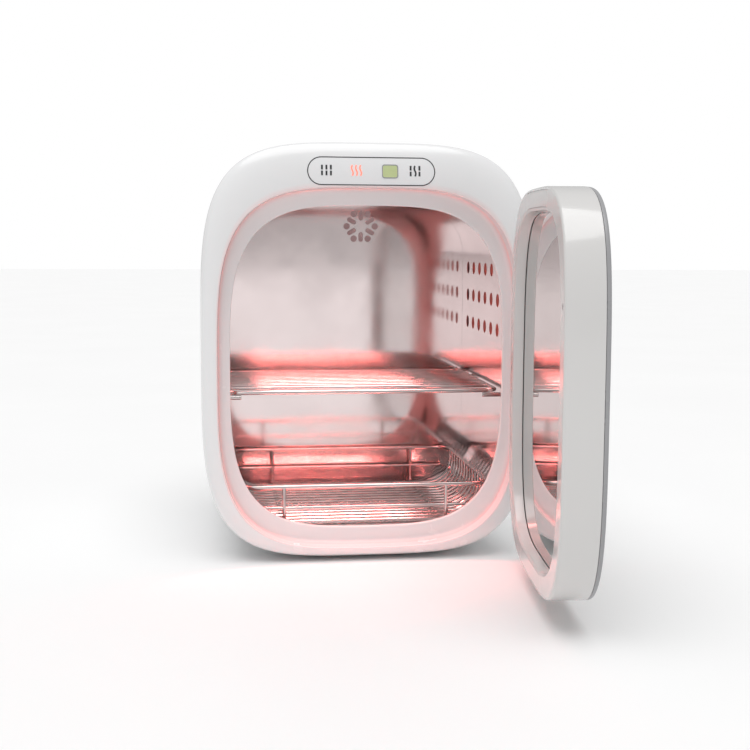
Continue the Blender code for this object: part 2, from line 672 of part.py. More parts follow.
def make_electronics(board_surface, case_surface, inlet_surface, steel):
    """Power board, lamp ballast, ion generator, inlet, door sensor and magnet catches."""
    board_z = OPENING_Z + 171 * MM
    board = block("main_board", (-70 * MM, 125 * MM, board_z), (70 * MM, 225 * MM, board_z + 1.6 * MM),
                  board_surface)

    def components(mesh_data):
        top = board_z + 1.2 * MM
        add_block(mesh_data, (-55 * MM, 140 * MM, top), (-20 * MM, 170 * MM, top + 20 * MM))
        add_block(mesh_data, (10 * MM, 135 * MM, top), (13 * MM, 185 * MM, top + 18 * MM))
        add_block(mesh_data, (40 * MM, 195 * MM, top), (60 * MM, 210 * MM, top + 12 * MM))
        add_rod(mesh_data, (-45 * MM, 195 * MM, top), (-45 * MM, 195 * MM, top + 16 * MM), 7 * MM, 12)
        add_rod(mesh_data, (-25 * MM, 195 * MM, top), (-25 * MM, 195 * MM, top + 16 * MM), 7 * MM, 12)

    join(board, "board_components", components)
    block("lamp_ballast", (-112 * MM, 125 * MM, board_z - 3 * MM), (-80 * MM, 215 * MM, board_z + 18 * MM),
          case_surface)
    block("ion_generator", (80 * MM, 130 * MM, board_z - 3 * MM), (112 * MM, 172 * MM, board_z + 14 * MM),
          case_surface)

    inlet = block("power_inlet", (-104 * MM, 262 * MM, 46 * MM), (-76 * MM, 284 * MM, 66 * MM), inlet_surface)
    join(inlet, "inlet_flange", lambda data: add_block(
        data, (-106 * MM, 285.3 * MM, 44 * MM), (-74 * MM, 287 * MM, 68 * MM)))
    join(inlet, "inlet_neck", lambda data: add_block(
        data, (-104 * MM, 280 * MM, 46 * MM), (-76 * MM, 286 * MM, 66 * MM)))
    cut(inlet, "inlet_socket", lambda data: add_block(
        data, (-100 * MM, 272 * MM, 51 * MM), (-80 * MM, 292 * MM, 61 * MM)))

    block("reed_switch", (-156.5 * MM, 3.6 * MM, SENSOR_Z - 7 * MM), (-149.5 * MM, 9 * MM, SENSOR_Z + 7 * MM),
          case_surface)
    for level, word in ((1, "top"), (-1, "bottom")):
        low, high = sorted((level * 168.5 * MM, level * 178.0 * MM))
        block("catch_plate_%s" % word, (-22 * MM, 3.4 * MM, OPENING_Z + low),
              (22 * MM, 5.2 * MM, OPENING_Z + high), steel)


# ---------------------------------------------------------------- shelf and basket

def make_wire_shelf(steel):
    """Wire shelf: frame, two front rails a bottle collar apart, cross wires and stiffeners."""
    middle_y = (SHELF_FRONT_Y + SHELF_BACK_Y) / 2
    half_depth = (SHELF_BACK_Y - SHELF_FRONT_Y) / 2
    frame = rounded_rectangle(SHELF_HALF_WIDTH, half_depth, 12 * MM, (0.0, middle_y), 3)
    mesh_data = bmesh.new()
    add_wire(mesh_data, at_height(frame, SHELF_Z), 2.2 * MM, (0, 0, 1), closed=True)
    shelf = finish("wire_shelf", mesh_data, steel)
    first_y = SHELF_FRONT_Y + SHELF_RAIL_GAP + SHELF_PITCH

    def cross_wires(data):
        rail_y = SHELF_FRONT_Y + SHELF_RAIL_GAP
        add_rod(data, (-SHELF_HALF_WIDTH, rail_y, SHELF_Z), (SHELF_HALF_WIDTH, rail_y, SHELF_Z), 2.0 * MM, 6)
        for wire in range(SHELF_WIRES - 1):
            y = first_y + wire * SHELF_PITCH
            add_rod(data, (-SHELF_HALF_WIDTH, y, SHELF_Z + 0.9 * MM),
                    (SHELF_HALF_WIDTH, y, SHELF_Z + 0.9 * MM), 1.3 * MM, 6)

    def stiffeners(data):
        for x in (-70 * MM, 0.0, 70 * MM):
            add_rod(data, (x, SHELF_FRONT_Y + SHELF_RAIL_GAP, SHELF_Z - 1.4 * MM),
                    (x, SHELF_BACK_Y, SHELF_Z - 1.4 * MM), 1.5 * MM, 6)

    join(shelf, "shelf_cross_wires", cross_wires)
    join(shelf, "shelf_stiffeners", stiffeners)
    return shelf


def make_basket_floor(steel):
    """Straight parts of the cross wires on two lengthwise runners with upturned ends."""
    half_width = BASKET_HALF_WIDTH - BASKET_BEND - BASKET_STUB - GAP
    low_z = BASKET_FLOOR_Z - BASKET_RUNNER_DROP
    front_y, back_y = BASKET_FRONT_Y, BASKET_BACK_Y
    mesh_data = bmesh.new()
    x = -BASKET_POST_X
    path = [(front_y, RUNNER_END_Z), (front_y, low_z + RUNNER_BEND), (front_y + RUNNER_BEND, low_z),
            (back_y - RUNNER_BEND, low_z), (back_y, low_z + RUNNER_BEND), (back_y, RUNNER_END_Z)]
    add_wire(mesh_data, [(x, y, z) for y, z in path], BASKET_POST_RADIUS, (1, 0, 0), sides=4)
    floor = finish("basket_floor", mesh_data, steel)

    def cross_wires(data):
        for y in basket_wire_ys():
            ends = [(-half_width, y, BASKET_FLOOR_Z), (half_width, y, BASKET_FLOOR_Z)]
            add_wire(data, ends, BASKET_WIRE_RADIUS, (0, 1, 0), sides=4)

    def second_runner(data):
        mirrored = [(-x, y, z) for y, z in path]
        add_wire(data, mirrored, BASKET_POST_RADIUS, (1, 0, 0), sides=4)

    join(floor, "basket_floor_wires", cross_wires)
    join(floor, "basket_second_runner", second_runner)
    return [floor]


def make_basket_sides(steel):
    """Each side: rim with its corners, bent ends of the cross wires, corners of the low rail."""
    bend_x, bend_z = BASKET_HALF_WIDTH - BASKET_BEND, BASKET_FLOOR_Z + BASKET_BEND
    section = [(BASKET_HALF_WIDTH, BASKET_RIM_Z)]
    for step in range(4):
        angle = -math.pi / 2 * step / 3
        section.append((bend_x + BASKET_BEND * math.cos(angle), bend_z + BASKET_BEND * math.sin(angle)))
    section.append((bend_x - BASKET_STUB, BASKET_FLOOR_Z))
    middle_y = (BASKET_FRONT_Y + BASKET_BACK_Y) / 2
    half_depth = (BASKET_BACK_Y - BASKET_FRONT_Y) / 2
    first_wire = basket_wire_ys()[0] - BASKET_FRONT_Y
    panels = []
    for side, word in ((-1, "left"), (1, "right")):
        corner_x = BASKET_HALF_WIDTH - BASKET_CORNER
        rim = [(corner_x - BASKET_STUB + GAP, -half_depth)]
        for step in range(4):
            angle = math.pi / 2 * step / 3
            rim.append((corner_x + BASKET_CORNER * math.sin(angle),
                        -half_depth + BASKET_CORNER * (1 - math.cos(angle))))
        rim += [(x, -y) for x, y in reversed(rim)]
        mesh_data = bmesh.new()
        path = [(side * x, middle_y + y, BASKET_RIM_Z) for x, y in rim]
        add_wire(mesh_data, path, BASKET_RIM_RADIUS, (0, 0, 1))
        panel = finish("basket_side_" + word, mesh_data, steel)

        def bent_wires(data, side=side):
            for y in basket_wire_ys():
                add_wire(data, [(side * x, y, z) for x, z in section], BASKET_WIRE_RADIUS, (0, 1, 0), sides=4)

        def low_corners(data, side=side):
            for end_y, inward in ((BASKET_FRONT_Y, 1), (BASKET_BACK_Y, -1)):
                ends = [(BASKET_RAIL_END_X, end_y), (BASKET_RAIL_WIRE_X, end_y + inward * first_wire)]
                corner = [(side * x, y, BASKET_RAIL_Z) for x, y in ends]
                add_wire(data, corner, BASKET_RAIL_RADIUS, (0, 0, 1), sides=4)

        join(panel, "basket_bent_wires", bent_wires)
        join(panel, "basket_low_corners", low_corners)
        panels.append(panel)
    return panels


def make_basket_ends(steel):
    """Each end: straight part of the rim, two posts and the low rail."""
    rim_half_width = BASKET_HALF_WIDTH - BASKET_CORNER - BASKET_STUB
    rail_half_width = BASKET_RAIL_END_X - BASKET_RAIL_RADIUS - GAP
    panels = []
    for y, word in ((BASKET_FRONT_Y, "front"), (BASKET_BACK_Y, "rear")):
        mesh_data = bmesh.new()
        ends = [(-rim_half_width, y, BASKET_RIM_Z), (rim_half_width, y, BASKET_RIM_Z)]
        add_wire(mesh_data, ends, BASKET_RIM_RADIUS, (0, 0, 1))
        panel = finish("basket_end_" + word, mesh_data, steel)

        def posts(data, y=y):
            for x in (-BASKET_POST_X, BASKET_POST_X):
                post = [(x, y, BASKET_RIM_Z), (x, y, RUNNER_END_Z + GAP)]
                add_wire(data, post, BASKET_POST_RADIUS, (1, 0, 0), sides=4)

        def low_rail(data, y=y):
            ends = [(-rail_half_width, y, BASKET_RAIL_Z), (rail_half_width, y, BASKET_RAIL_Z)]
            add_wire(data, ends, BASKET_RAIL_RADIUS, (0, 0, 1), sides=4)

        join(panel, "basket_posts", posts)
        join(panel, "basket_low_rail", low_rail)
        panels.append(panel)
    return panels


def basket_wire_ys():
    """Depths of the basket's cross wires."""
    first_y = (BASKET_FRONT_Y + BASKET_BACK_Y) / 2 - BASKET_PITCH * (BASKET_WIRES - 1) / 2
    return [first_y + wire * BASKET_PITCH for wire in range(BASKET_WIRES)]


# ---------------------------------------------------------------- door

def door_loop(inset, y):
    """One loop of the door at an inset and a depth, both in millimetres."""
    return at_depth(superellipse(DOOR, inset * MM), y * MM)


def add_rim_insert(mesh_data, level, grow):
    """Segment of the door's rim, cut by two radial seams, at the top or the bottom."""
    start, end = DOOR_BACK_Y - 1.3 * MM - 2 * grow, DOOR_BACK_Y + (1 * MM if grow else 0)
    half_width, half_height, power, centre_z = DOOR
    reach = INSERT_ANGLE + grow / half_height
    loops = []
    for step in range(9):
        angle = level * (math.pi / 2) - reach + 2 * reach * step / 8
        corners = []
        for inset, y in ((3.0, start), (16.8, start), (16.8, end), (3.0, end)):
            inset = inset * MM + (grow if inset > 10 else -grow)
            across = abs(math.cos(angle) / (half_width - inset)) ** power
            along = abs(math.sin(angle) / (half_height - inset)) ** power
            radius = (across + along) ** (-1 / power)
            corners.append((radius * math.cos(angle), y, centre_z + radius * math.sin(angle)))
        loops.append(corners)
    add_loft(mesh_data, loops)


def make_door(shell_surface, inner_surface, cover_surface, glass_surface, magnet_surface):
    """Door pieces, modelled closed."""
    pieces = []
    back, cover_y = DOOR_BACK_Y / MM, DOOR_COVER_Y / MM
    rim, step_y = DOOR_RIM / MM, DOOR_STEP_Y / MM
    glass_y = GLASS_Y / MM
    skin = SKIN / MM
    frame = loft("door_frame", [
        door_loop(0, cover_y), door_loop(0, back - 4), door_loop(0.8, back - 1), door_loop(2.5, back),
        door_loop(rim, back), door_loop(rim + 2, back - 0.8), door_loop(rim + 3, step_y),
        door_loop(rim + 0.5, step_y), door_loop(rim - 0.3, back - skin), door_loop(skin, back - skin),
        door_loop(skin, cover_y),
    ], shell_surface, closed=True)
    sensor_bore = 2.4 * MM + GAP
    cut(frame, "sensor_pocket", lambda data: add_rod(
        data, (SENSOR_X, DOOR_BACK_Y - 1.8 * MM, SENSOR_Z), (SENSOR_X, 5 * MM, SENSOR_Z), sensor_bore, 12))
    pieces.append(frame)

    for level, word in ((1, "top"), (-1, "bottom")):
        cut(frame, "insert_pocket_%s" % word, lambda data, s=level: add_rim_insert(data, s, GAP))
        mesh_data = bmesh.new()
        add_rim_insert(mesh_data, level, 0.0)
        pieces.append(finish("door_%s_insert" % word, mesh_data, inner_surface))
        low, high = sorted((level * 156.5 * MM, level * 167.0 * MM))
        pieces.append(block("door_magnet_%s" % word, (-20 * MM, -10 * MM, OPENING_Z + low),
                            (20 * MM, -5.9 * MM, OPENING_Z + high), magnet_surface))

    pieces.append(rod("door_sensor_magnet", (SENSOR_X, DOOR_BACK_Y - 1.5 * MM, SENSOR_Z),
                      (SENSOR_X, DOOR_BACK_Y, SENSOR_Z), 2.4 * MM, magnet_surface, 12))

    pane_inset, mirror_y = PANE_INSET / MM, MIRROR_FRONT_Y / MM
    pieces.append(loft("door_mirror", [
        door_loop(pane_inset, mirror_y + MIRROR_THICKNESS / MM), door_loop(pane_inset, mirror_y),
    ], glass_surface))
    ring_y = mirror_y - GAP / MM
    pieces.append(loft("door_inner_bezel", [
        door_loop(rim + 3, ring_y), door_loop(rim + 4, glass_y + 0.3),
        door_loop(rim - 6, glass_y + 0.3), door_loop(rim - 6, glass_y + 2.8),
        door_loop(rim + 0.8, glass_y + 2.8), door_loop(rim, ring_y),
    ], inner_surface, closed=True))

    glass_front = (GLASS_Y - GLASS_THICKNESS) / MM
    pieces.append(loft("door_glass", [
        door_loop(pane_inset, glass_y), door_loop(pane_inset, glass_front),
    ], glass_surface))

    front = DOOR_FRONT_Y / MM
    pieces.append(loft("door_outer_cover", [
        door_loop(0, cover_y - 0.3), door_loop(0.3, front + 1.8),
        door_loop(1.8, front + 0.3), door_loop(4, front),
        door_loop(13, front), door_loop(15, front + 0.5), door_loop(22, glass_front - 0.3),
        door_loop(18, glass_front - 0.3), door_loop(13, front + skin), door_loop(2.8, front + skin),
        door_loop(2.8, cover_y - 0.3),
    ], cover_surface, closed=True))
    return pieces


def make_hinges(bracket_surface, pin_surface):
    """Two hinges: a bracket and a pin on the cabinet, and an arm on the door, for each."""
    arms = []
    for level, word in ((1, "upper"), (-1, "lower")):
        z = OPENING_Z + level * HINGE_Z_OFFSET

        def ears(mesh_data, z=z):
            for side in (-1, 1):
                low, high = sorted((z + side * (ARM_HALF_LENGTH + GAP), z + side * BRACKET_HALF_LENGTH))
                add_rod(mesh_data, (HINGE_X, HINGE_Y, low), (HINGE_X, HINGE_Y, high), KNUCKLE_RADIUS, 16)

        def bore(mesh_data, z=z):
            reach = BRACKET_HALF_LENGTH + 2 * MM
            add_rod(mesh_data, (HINGE_X, HINGE_Y, z - reach), (HINGE_X, HINGE_Y, z + reach), PIN_BORE, 12)

        def swing_room(mesh_data, z=z):
            reach = ARM_HALF_LENGTH + GAP
            add_block(mesh_data, (HINGE_X - 8 * MM, HINGE_Y - 8 * MM, z - reach),
                      (HINGE_X + 8 * MM, HINGE_Y + KNUCKLE_RADIUS + 0.4 * MM, z + reach))

        leaf_y = HINGE_Y + KNUCKLE_RADIUS - 1.5 * MM
        bracket = block("hinge_bracket_%s" % word,
                        (HINGE_X - LEAF_HALF_THICKNESS, leaf_y, z - BRACKET_HALF_LENGTH + 0.1 * MM),
                        (HINGE_X + LEAF_HALF_THICKNESS, LEAF_END_Y, z + BRACKET_HALF_LENGTH - 0.1 * MM),
                        bracket_surface)
        join(bracket, "bracket_ears_%s" % word, ears)
        cut(bracket, "bracket_room_%s" % word, swing_room)
        cut(bracket, "bracket_bore_%s" % word, bore)

        rod("hinge_pin_%s" % word, (HINGE_X, HINGE_Y, z - BRACKET_HALF_LENGTH + 0.2 * MM),
            (HINGE_X, HINGE_Y, z + BRACKET_HALF_LENGTH - 0.2 * MM), PIN_RADIUS, pin_surface, 12)

        arm = rod("hinge_arm_%s" % word, (HINGE_X, HINGE_Y, z - ARM_HALF_LENGTH),
                  (HINGE_X, HINGE_Y, z + ARM_HALF_LENGTH), KNUCKLE_RADIUS, bracket_surface, 16)
        join(arm, "arm_leaf_%s" % word, lambda data, z=z: add_block(
            data, (HINGE_X - 19 * MM, HINGE_Y - 4 * MM, z - ARM_HALF_LENGTH),
            (HINGE_X - 1 * MM, HINGE_Y + 2 * MM, z + ARM_HALF_LENGTH)))
        cut(arm, "arm_door_side_%s" % word, lambda data: add_loft(
            data, [door_loop(-GAP / MM, -50), door_loop(-GAP / MM, 5)]))
        cut(arm, "arm_bore_%s" % word, bore)
        arms.append(arm)
    return arms


# ---------------------------------------------------------------- assembly

def clear_scene():
    """Remove the scene's objects."""
    for existing in list(bpy.data.objects):
        bpy.data.objects.remove(existing, do_unlink=True)


def add_empty(name, location):
    """An empty that pieces are parented to."""
    empty = bpy.data.objects.new(name, None)
    empty.location = location
    bpy.context.scene.collection.objects.link(empty)
    return empty


def attach(pieces, empty):
    """Parent pieces to an empty and keep them where they are; tools follow their pieces."""
    for piece in pieces:
        tools = [modifier.object for modifier in piece.modifiers if modifier.type == "BOOLEAN"]
        for follower in [piece] + tools:
            follower.parent = empty
            follower.matrix_parent_inverse = Matrix.Translation(empty.location).inverted()


def footprint_centre():
    """Centre, in X and Y, of the box around every piece."""
    bpy.context.view_layer.update()
    graph = bpy.context.evaluated_depsgraph_get()
    corners = []
    for piece in bpy.context.scene.objects:
        if piece.type == "MESH" and not piece.hide_render:
            evaluated = piece.evaluated_get(graph)
            corners += [evaluated.matrix_world @ vertex.co for vertex in evaluated.data.vertices]
    xs = [corner.x for corner in corners]
    ys = [corner.y for corner in corners]
    return (min(xs) + max(xs)) / 2, (min(ys) + max(ys)) / 2


def build():
    """Model every piece, swing the door open and centre the whole on its footprint."""
    clear_scene()
    white = material("white_plastic", (0.86, 0.86, 0.87), 0.28)
    pearl = material("pearl_grey_plastic", (0.72, 0.72, 0.73), 0.3)
    trim = material("grey_trim", (0.45, 0.45, 0.46), 0.3)
    shade = material("inner_grey_plastic", (0.6, 0.61, 0.62), 0.35)
    steel = material("polished_steel", (0.8, 0.78, 0.77), 0.08, 1.0)
    wire = material("steel_wire", (0.7, 0.68, 0.66), 0.2, 1.0)
    pane = material("mirror_tinted_glass", (0.35, 0.33, 0.33), 0.05, 0.6)
    rubber = material("rubber", (0.08, 0.08, 0.08), 0.8)
    overlay = material("overlay_film", (0.8, 0.8, 0.81), 0.25)
    lens = material("display_lens", (0.62, 0.68, 0.4), 0.15)
    board = material("circuit_board", (0.05, 0.25, 0.12), 0.5)
    dark = material("dark_moulding", (0.06, 0.06, 0.07), 0.5)
    tube = material("lamp_glass", (0.75, 0.8, 0.95), 0.1)
    ruby = material("heater_glass", (0.85, 0.12, 0.08), 0.15)
    screw = material("zinc_plate", (0.6, 0.6, 0.58), 0.35, 1.0)
    magnet = material("nickel_plate", (0.5, 0.5, 0.5), 0.3, 1.0)

    make_front_bezel(white)
    make_casing_shell(white)
    make_rear_cover(pearl)
    make_feet(rubber)
    make_rear_screws(screw)
    make_control_panel(overlay, lens, board, dark)
    make_chamber(steel)
    make_shelf_pegs(wire)
    make_lamps(tube, ruby, screw, dark)
    impeller = make_fan(dark, screw, pearl)
    make_duct(pearl)
    make_electronics(board, dark, dark, screw)
    shelf = make_wire_shelf(wire)
    basket = make_basket_floor(wire) + make_basket_sides(wire) + make_basket_ends(wire)
    door_pieces = make_door(white, shade, trim, pane, magnet)
    door_pieces += make_hinges(screw, wire)

    door_hinge = add_empty("door_hinge", (HINGE_X, HINGE_Y, OPENING_Z))
    attach(door_pieces, door_hinge)
    door_hinge.rotation_euler.z = DOOR_OPEN_ANGLE
    attach([shelf], add_empty("shelf_slide", (0.0, SHELF_FRONT_Y, SHELF_Z)))
    attach(basket, add_empty("basket_lift", (0.0, BASKET_FRONT_Y, BASKET_RIM_Z)))
    attach([impeller], add_empty("impeller_spin", (FAN_X, CHAMBER_BACK_Y, FAN_Z)))

    centre_x, centre_y = footprint_centre()
    cabinet = add_empty("sterilizer", (0.0, 0.0, 0.0))
    others = [piece for piece in bpy.context.scene.objects if piece.parent is None and piece is not cabinet]
    for piece in others:
        piece.parent = cabinet
    cabinet.location = (-centre_x, -centre_y, 0.0)


build()
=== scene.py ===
"""Looks of the bottle sterilizer.

Every visible moulding, sheet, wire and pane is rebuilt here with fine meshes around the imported
frame. Shapes are laid out in millimetres round the centre of the chamber opening: X to the
right, Y into the cabinet and Z up. CABINET_PLACE and DOOR_PLACE carry them to the row frame.
The door is laid out closed, and DOOR_PLACE swings it to its place at rest.
"""

import json
import math

import bmesh
import bpy
from mathutils import Matrix, Vector


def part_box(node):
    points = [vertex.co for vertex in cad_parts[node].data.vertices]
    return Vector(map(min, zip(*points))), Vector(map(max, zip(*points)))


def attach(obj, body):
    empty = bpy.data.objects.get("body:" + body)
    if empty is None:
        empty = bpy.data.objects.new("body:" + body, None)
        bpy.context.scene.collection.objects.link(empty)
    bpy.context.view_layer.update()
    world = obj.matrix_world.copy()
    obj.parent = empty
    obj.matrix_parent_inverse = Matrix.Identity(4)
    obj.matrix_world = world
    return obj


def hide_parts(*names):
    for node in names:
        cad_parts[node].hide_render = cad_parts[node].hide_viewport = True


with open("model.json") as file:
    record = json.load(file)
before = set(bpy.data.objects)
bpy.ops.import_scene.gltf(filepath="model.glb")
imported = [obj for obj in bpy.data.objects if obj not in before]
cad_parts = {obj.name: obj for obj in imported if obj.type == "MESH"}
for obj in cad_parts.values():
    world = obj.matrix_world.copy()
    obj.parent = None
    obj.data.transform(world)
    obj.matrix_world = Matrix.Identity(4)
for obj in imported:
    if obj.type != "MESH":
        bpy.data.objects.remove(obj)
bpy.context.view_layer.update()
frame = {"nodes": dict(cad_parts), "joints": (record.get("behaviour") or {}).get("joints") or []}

MM = 0.001
RING_POINTS = 144
CORNER_BIAS = 0.8
ROUND_STEPS = 5
LIP_SHARE = 0.13

# ---------------------------------------------------------------- places read from the frame

CHAMBER_FRONT_Y = 3.3
CASING_SKIN = 2.5


def box_mm(node):
    """A CAD node's lowest and highest corners, in millimetres, in the row frame."""
    low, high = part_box(node)
    return low / MM, high / MM


def joint_named(name):
    """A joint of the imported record."""
    return next(joint for joint in frame["joints"] if joint["name"] == name)


wrap_low, wrap_high = box_mm("chamber_wrap")
bezel_low, bezel_high = box_mm("front_bezel")
ORIGIN = Vector((
    (wrap_low.x + wrap_high.x) / 2,
    wrap_low.y - CHAMBER_FRONT_Y,
    (wrap_low.z + wrap_high.z) / 2,
))
CABINET_PLACE = Matrix.Scale(MM, 4) @ Matrix.Translation(ORIGIN)


def local_box(node):
    """A CAD node's corners, in millimetres, round the opening's centre."""
    low, high = box_mm(node)
    return low - ORIGIN, high - ORIGIN


def middle(low, high):
    """The centre, along each axis, between two corners."""
    return tuple((first + second) / 2 for first, second in zip(low, high))


door_joint = joint_named("door_hinge")
HINGE = Vector(door_joint["pos_m"]) / MM - ORIGIN
OPEN_ANGLE = -math.radians(door_joint["range_deg"][0])
SWING = Matrix.Translation(HINGE) @ Matrix.Rotation(OPEN_ANGLE, 4, "Z") @ Matrix.Translation(-HINGE)
DOOR_PLACE = CABINET_PLACE @ SWING

# Outlines are superellipses: half width, half height, power, centre height
BODY_CENTRE = (bezel_low.z + bezel_high.z) / 2 - ORIGIN.z
BODY = ((bezel_high.x - bezel_low.x) / 2, (bezel_high.z - bezel_low.z) / 2, 4.1, BODY_CENTRE)
RECESS = (149.0, 177.0, 3.6, 0.0)
OPENING = (136.5, 160.0, 3.5, 0.0)
DOOR = (143.0, 172.0, 3.9, 0.0)

# Depths of the cabinet
FRONT_Y = -21.0
SHOULDER_Y = -7.0
BEZEL_END_Y = 30.0
CASING_END_Y = 262.0
BACK_Y = 285.0
REAR_TAPER = 4.0
GAP = 0.3

# Rear cover
REAR_VENT_HALVES = (26.0, 1.75)
REAR_VENT_PITCH = 8.0
REAR_VENT_ROWS = 6
LOWER_VENT_HALVES = (2.0, 16.0)
LOWER_VENT_PITCH = 12.0
LOWER_VENT_COLUMNS = 9
LOWER_VENT_X = -14.0
LOWER_VENT_HEIGHT = 58.0
HEAD_BASE_Y = BACK_Y + GAP

# Chamber
WALL_X = (wrap_high.x - wrap_low.x) / 2 - 1.0
CEILING_Z = (wrap_high.z - wrap_low.z) / 2 - 1.0
CHAMBER_RADIUS = 56.0
SHEET = 1.0
CHAMBER_BACK_Y = local_box("chamber_back")[0].y
VENT_RADIUS = 7.0
VENT_YS = [36.0 + 30.0 * column for column in range(7)]
VENT_ZS = (95.0, 63.5, 32.0)
LAMP_WINDOW_HALF_WIDTH = 104.0
LAMP_WINDOW_YS = (47.0, 103.0)
LAMP_CAP = 11.0

# Fan behind the back wall
fan_low, fan_high = local_box("fan_impeller")
FAN_X, _, FAN_Z = middle(fan_low, fan_high)
GRILLE_RADIUS = 16.7
GRILLE_HOLE_RADIUS = 3.8
GRILLE_SLOT_HALVES = (5.7, 2.7)
GRILLE_SLOT_CENTRE = 12.5

# Wire shelf
SHELF_WIRE = 2.2
SHELF_CORNER = 12.0
SHELF_RAIL_GAP = 40.0
SHELF_RAIL = 2.0
SHELF_PITCH = 14.0
SHELF_CROSS_WIRES = 10
CROSS_WIRE = 1.3
CROSS_WIRE_RISE = 0.9
STIFFENER = 1.5
STIFFENER_DROP = 1.4
STIFFENER_XS = (-70.0, 0.0, 70.0)

# Wire basket
RIM_WIRE = 2.2
BASKET_WIRE = 1.4
BASKET_PITCH = 14.0
BASKET_WIRES = 15
BASKET_BEND = 28.0
BASKET_CORNER = 20.0
RUNNER_BEND = 7.0
POST_X = 83.0
POST_WIRE = 2.0
RUNNER_DROP = 2.1
RAIL_DROP = 21.5
RAIL_WIRE = 1.8
RAIL_END_X = 119.5
RAIL_WIRE_X = 127.2

# Control panel
overlay_low, overlay_high = local_box("control_overlay")
PANEL_X, _, PANEL_Z = middle(overlay_low, overlay_high)
PANEL_HALF_WIDTH = (overlay_high.x - overlay_low.x) / 2
PANEL_HALF_HEIGHT = (overlay_high.z - overlay_low.z) / 2
lcd_low, lcd_high = local_box("lcd_window")
LCD_X = (lcd_low.x + lcd_high.x) / 2
LCD_HALF_WIDTH = (lcd_high.x - lcd_low.x) / 2
LCD_HALF_HEIGHT = (lcd_high.z - lcd_low.z) / 2

# Door
DOOR_BACK_Y = -3.0
DOOR_COVER_Y = -35.0
DOOR_FRONT_Y = -39.4
DOOR_RIM = 17.5
DOOR_STEP_Y = -13.0
MIRROR_BACK_Y = DOOR_STEP_Y - 0.4
MIRROR_FRONT_Y = DOOR_STEP_Y - 2.4
GLASS_Y = -26.5
GLASS_THICKNESS = 4.0
INSERT_ANGLE = math.radians(18.3)
INSERT_INSETS = (3.0, 16.8)
PANE_INSET = 8.0
SENSOR_X = -133.4
SENSOR_Z = 77.0
SENSOR_RADIUS = 2.4


# ---------------------------------------------------------------- materials

class Nodes:
    """A small helper that adds nodes to one material and wires them."""

    def __init__(self, name):
        self.material = bpy.data.materials.new(name)
        self.material.use_nodes = True
        self.tree = self.material.node_tree
        self.shader = self.tree.nodes["Principled BSDF"]
        coordinates = self.tree.nodes.new("ShaderNodeTexCoord")
        self.position = coordinates.outputs["Object"]

    def link(self, source, target):
        """Wire one socket to another."""
        self.tree.links.new(source, target)

    def noise(self, scale, detail=2.0, stretch=(1.0, 1.0, 1.0)):
        """Noise in the object's own metric space."""
        mapping = self.tree.nodes.new("ShaderNodeMapping")
        mapping.inputs["Scale"].default_value = stretch
        texture = self.tree.nodes.new("ShaderNodeTexNoise")
        texture.inputs["Scale"].default_value = scale
        texture.inputs["Detail"].default_value = detail
        self.link(self.position, mapping.inputs["Vector"])
        self.link(mapping.outputs["Vector"], texture.inputs["Vector"])
        return texture.outputs["Fac"]

    def spread(self, value, low, high):
        """Map a noise value to a range."""
        node = self.tree.nodes.new("ShaderNodeMapRange")
        node.inputs["From Min"].default_value = 0.3
        node.inputs["From Max"].default_value = 0.7
        node.inputs["To Min"].default_value = low
        node.inputs["To Max"].default_value = high
        self.link(value, node.inputs["Value"])
        return node.outputs["Result"]

    def mix_colours(self, factor, first, second):
        """Blend two colours by a factor; either colour may be a socket."""
        node = self.tree.nodes.new("ShaderNodeMix")
        node.data_type = "RGBA"
        self.link(factor, node.inputs["Factor"])
        for socket, colour in ((node.inputs[6], first), (node.inputs[7], second)):
            if isinstance(colour, tuple):
                socket.default_value = (*colour, 1.0)
            else:
                self.link(colour, socket)
        return node.outputs[2]

    def bump(self, height, strength, distance, normal=None):
        """A bump from a height value."""
        node = self.tree.nodes.new("ShaderNodeBump")
        node.inputs["Strength"].default_value = strength
        node.inputs["Distance"].default_value = distance
        self.link(height, node.inputs["Height"])
        if normal is not None:
            self.link(normal, node.inputs["Normal"])
        return node.outputs["Normal"]

    def attribute(self, name):
        """A value that is stored on the mesh."""
        node = self.tree.nodes.new("ShaderNodeAttribute")
        node.attribute_name = name
        return node.outputs["Fac"]

    def paint(self, pattern, first, second):
        """Vary the base colour between two colours along a pattern."""
        shade = self.spread(pattern, 0.0, 1.0)
        self.link(self.mix_colours(shade, first, second), self.shader.inputs["Base Color"])

    def vary_gloss(self, pattern, low, high):
        """Vary the roughness between two values along a pattern."""
        self.link(self.spread(pattern, low, high), self.shader.inputs["Roughness"])


def scaled(colour, share):
    """A colour made darker or lighter."""
    return tuple(channel * share for channel in colour)


def moulding(name, colour, roughness, coat=0.0, texture_mm=0.6, depth_mm=0.01, wave=0.02):
    """Injection-moulded plastic: faint flow variation, fine texture, uneven gloss."""
    nodes = Nodes(name)
    nodes.paint(nodes.noise(9.0, 3.0), scaled(colour, 1 - wave), colour)
    nodes.vary_gloss(nodes.noise(35.0, 4.0), roughness * 0.85, roughness * 1.15)
    fine = nodes.bump(nodes.noise(1.0 / (texture_mm * MM), 2.0), 0.25, depth_mm * MM)
    nodes.link(fine, nodes.shader.inputs["Normal"])
    nodes.shader.inputs["Coat Weight"].default_value = coat
    nodes.shader.inputs["Coat Roughness"].default_value = 0.08
    return nodes


def painted_glow_moulding(name, colour, glow_colour, roughness, coat):
    """White plastic with a painted pink glow, standing in for the lit chamber's light, mixed into its base
    colour where the mesh's glow value is high.
    """
    nodes = moulding(name, colour, roughness, coat)
    target = nodes.shader.inputs["Base Color"]
    base = target.links[0].from_socket
    nodes.link(nodes.mix_colours(nodes.attribute("glow"), base, glow_colour), target)
    return nodes.material


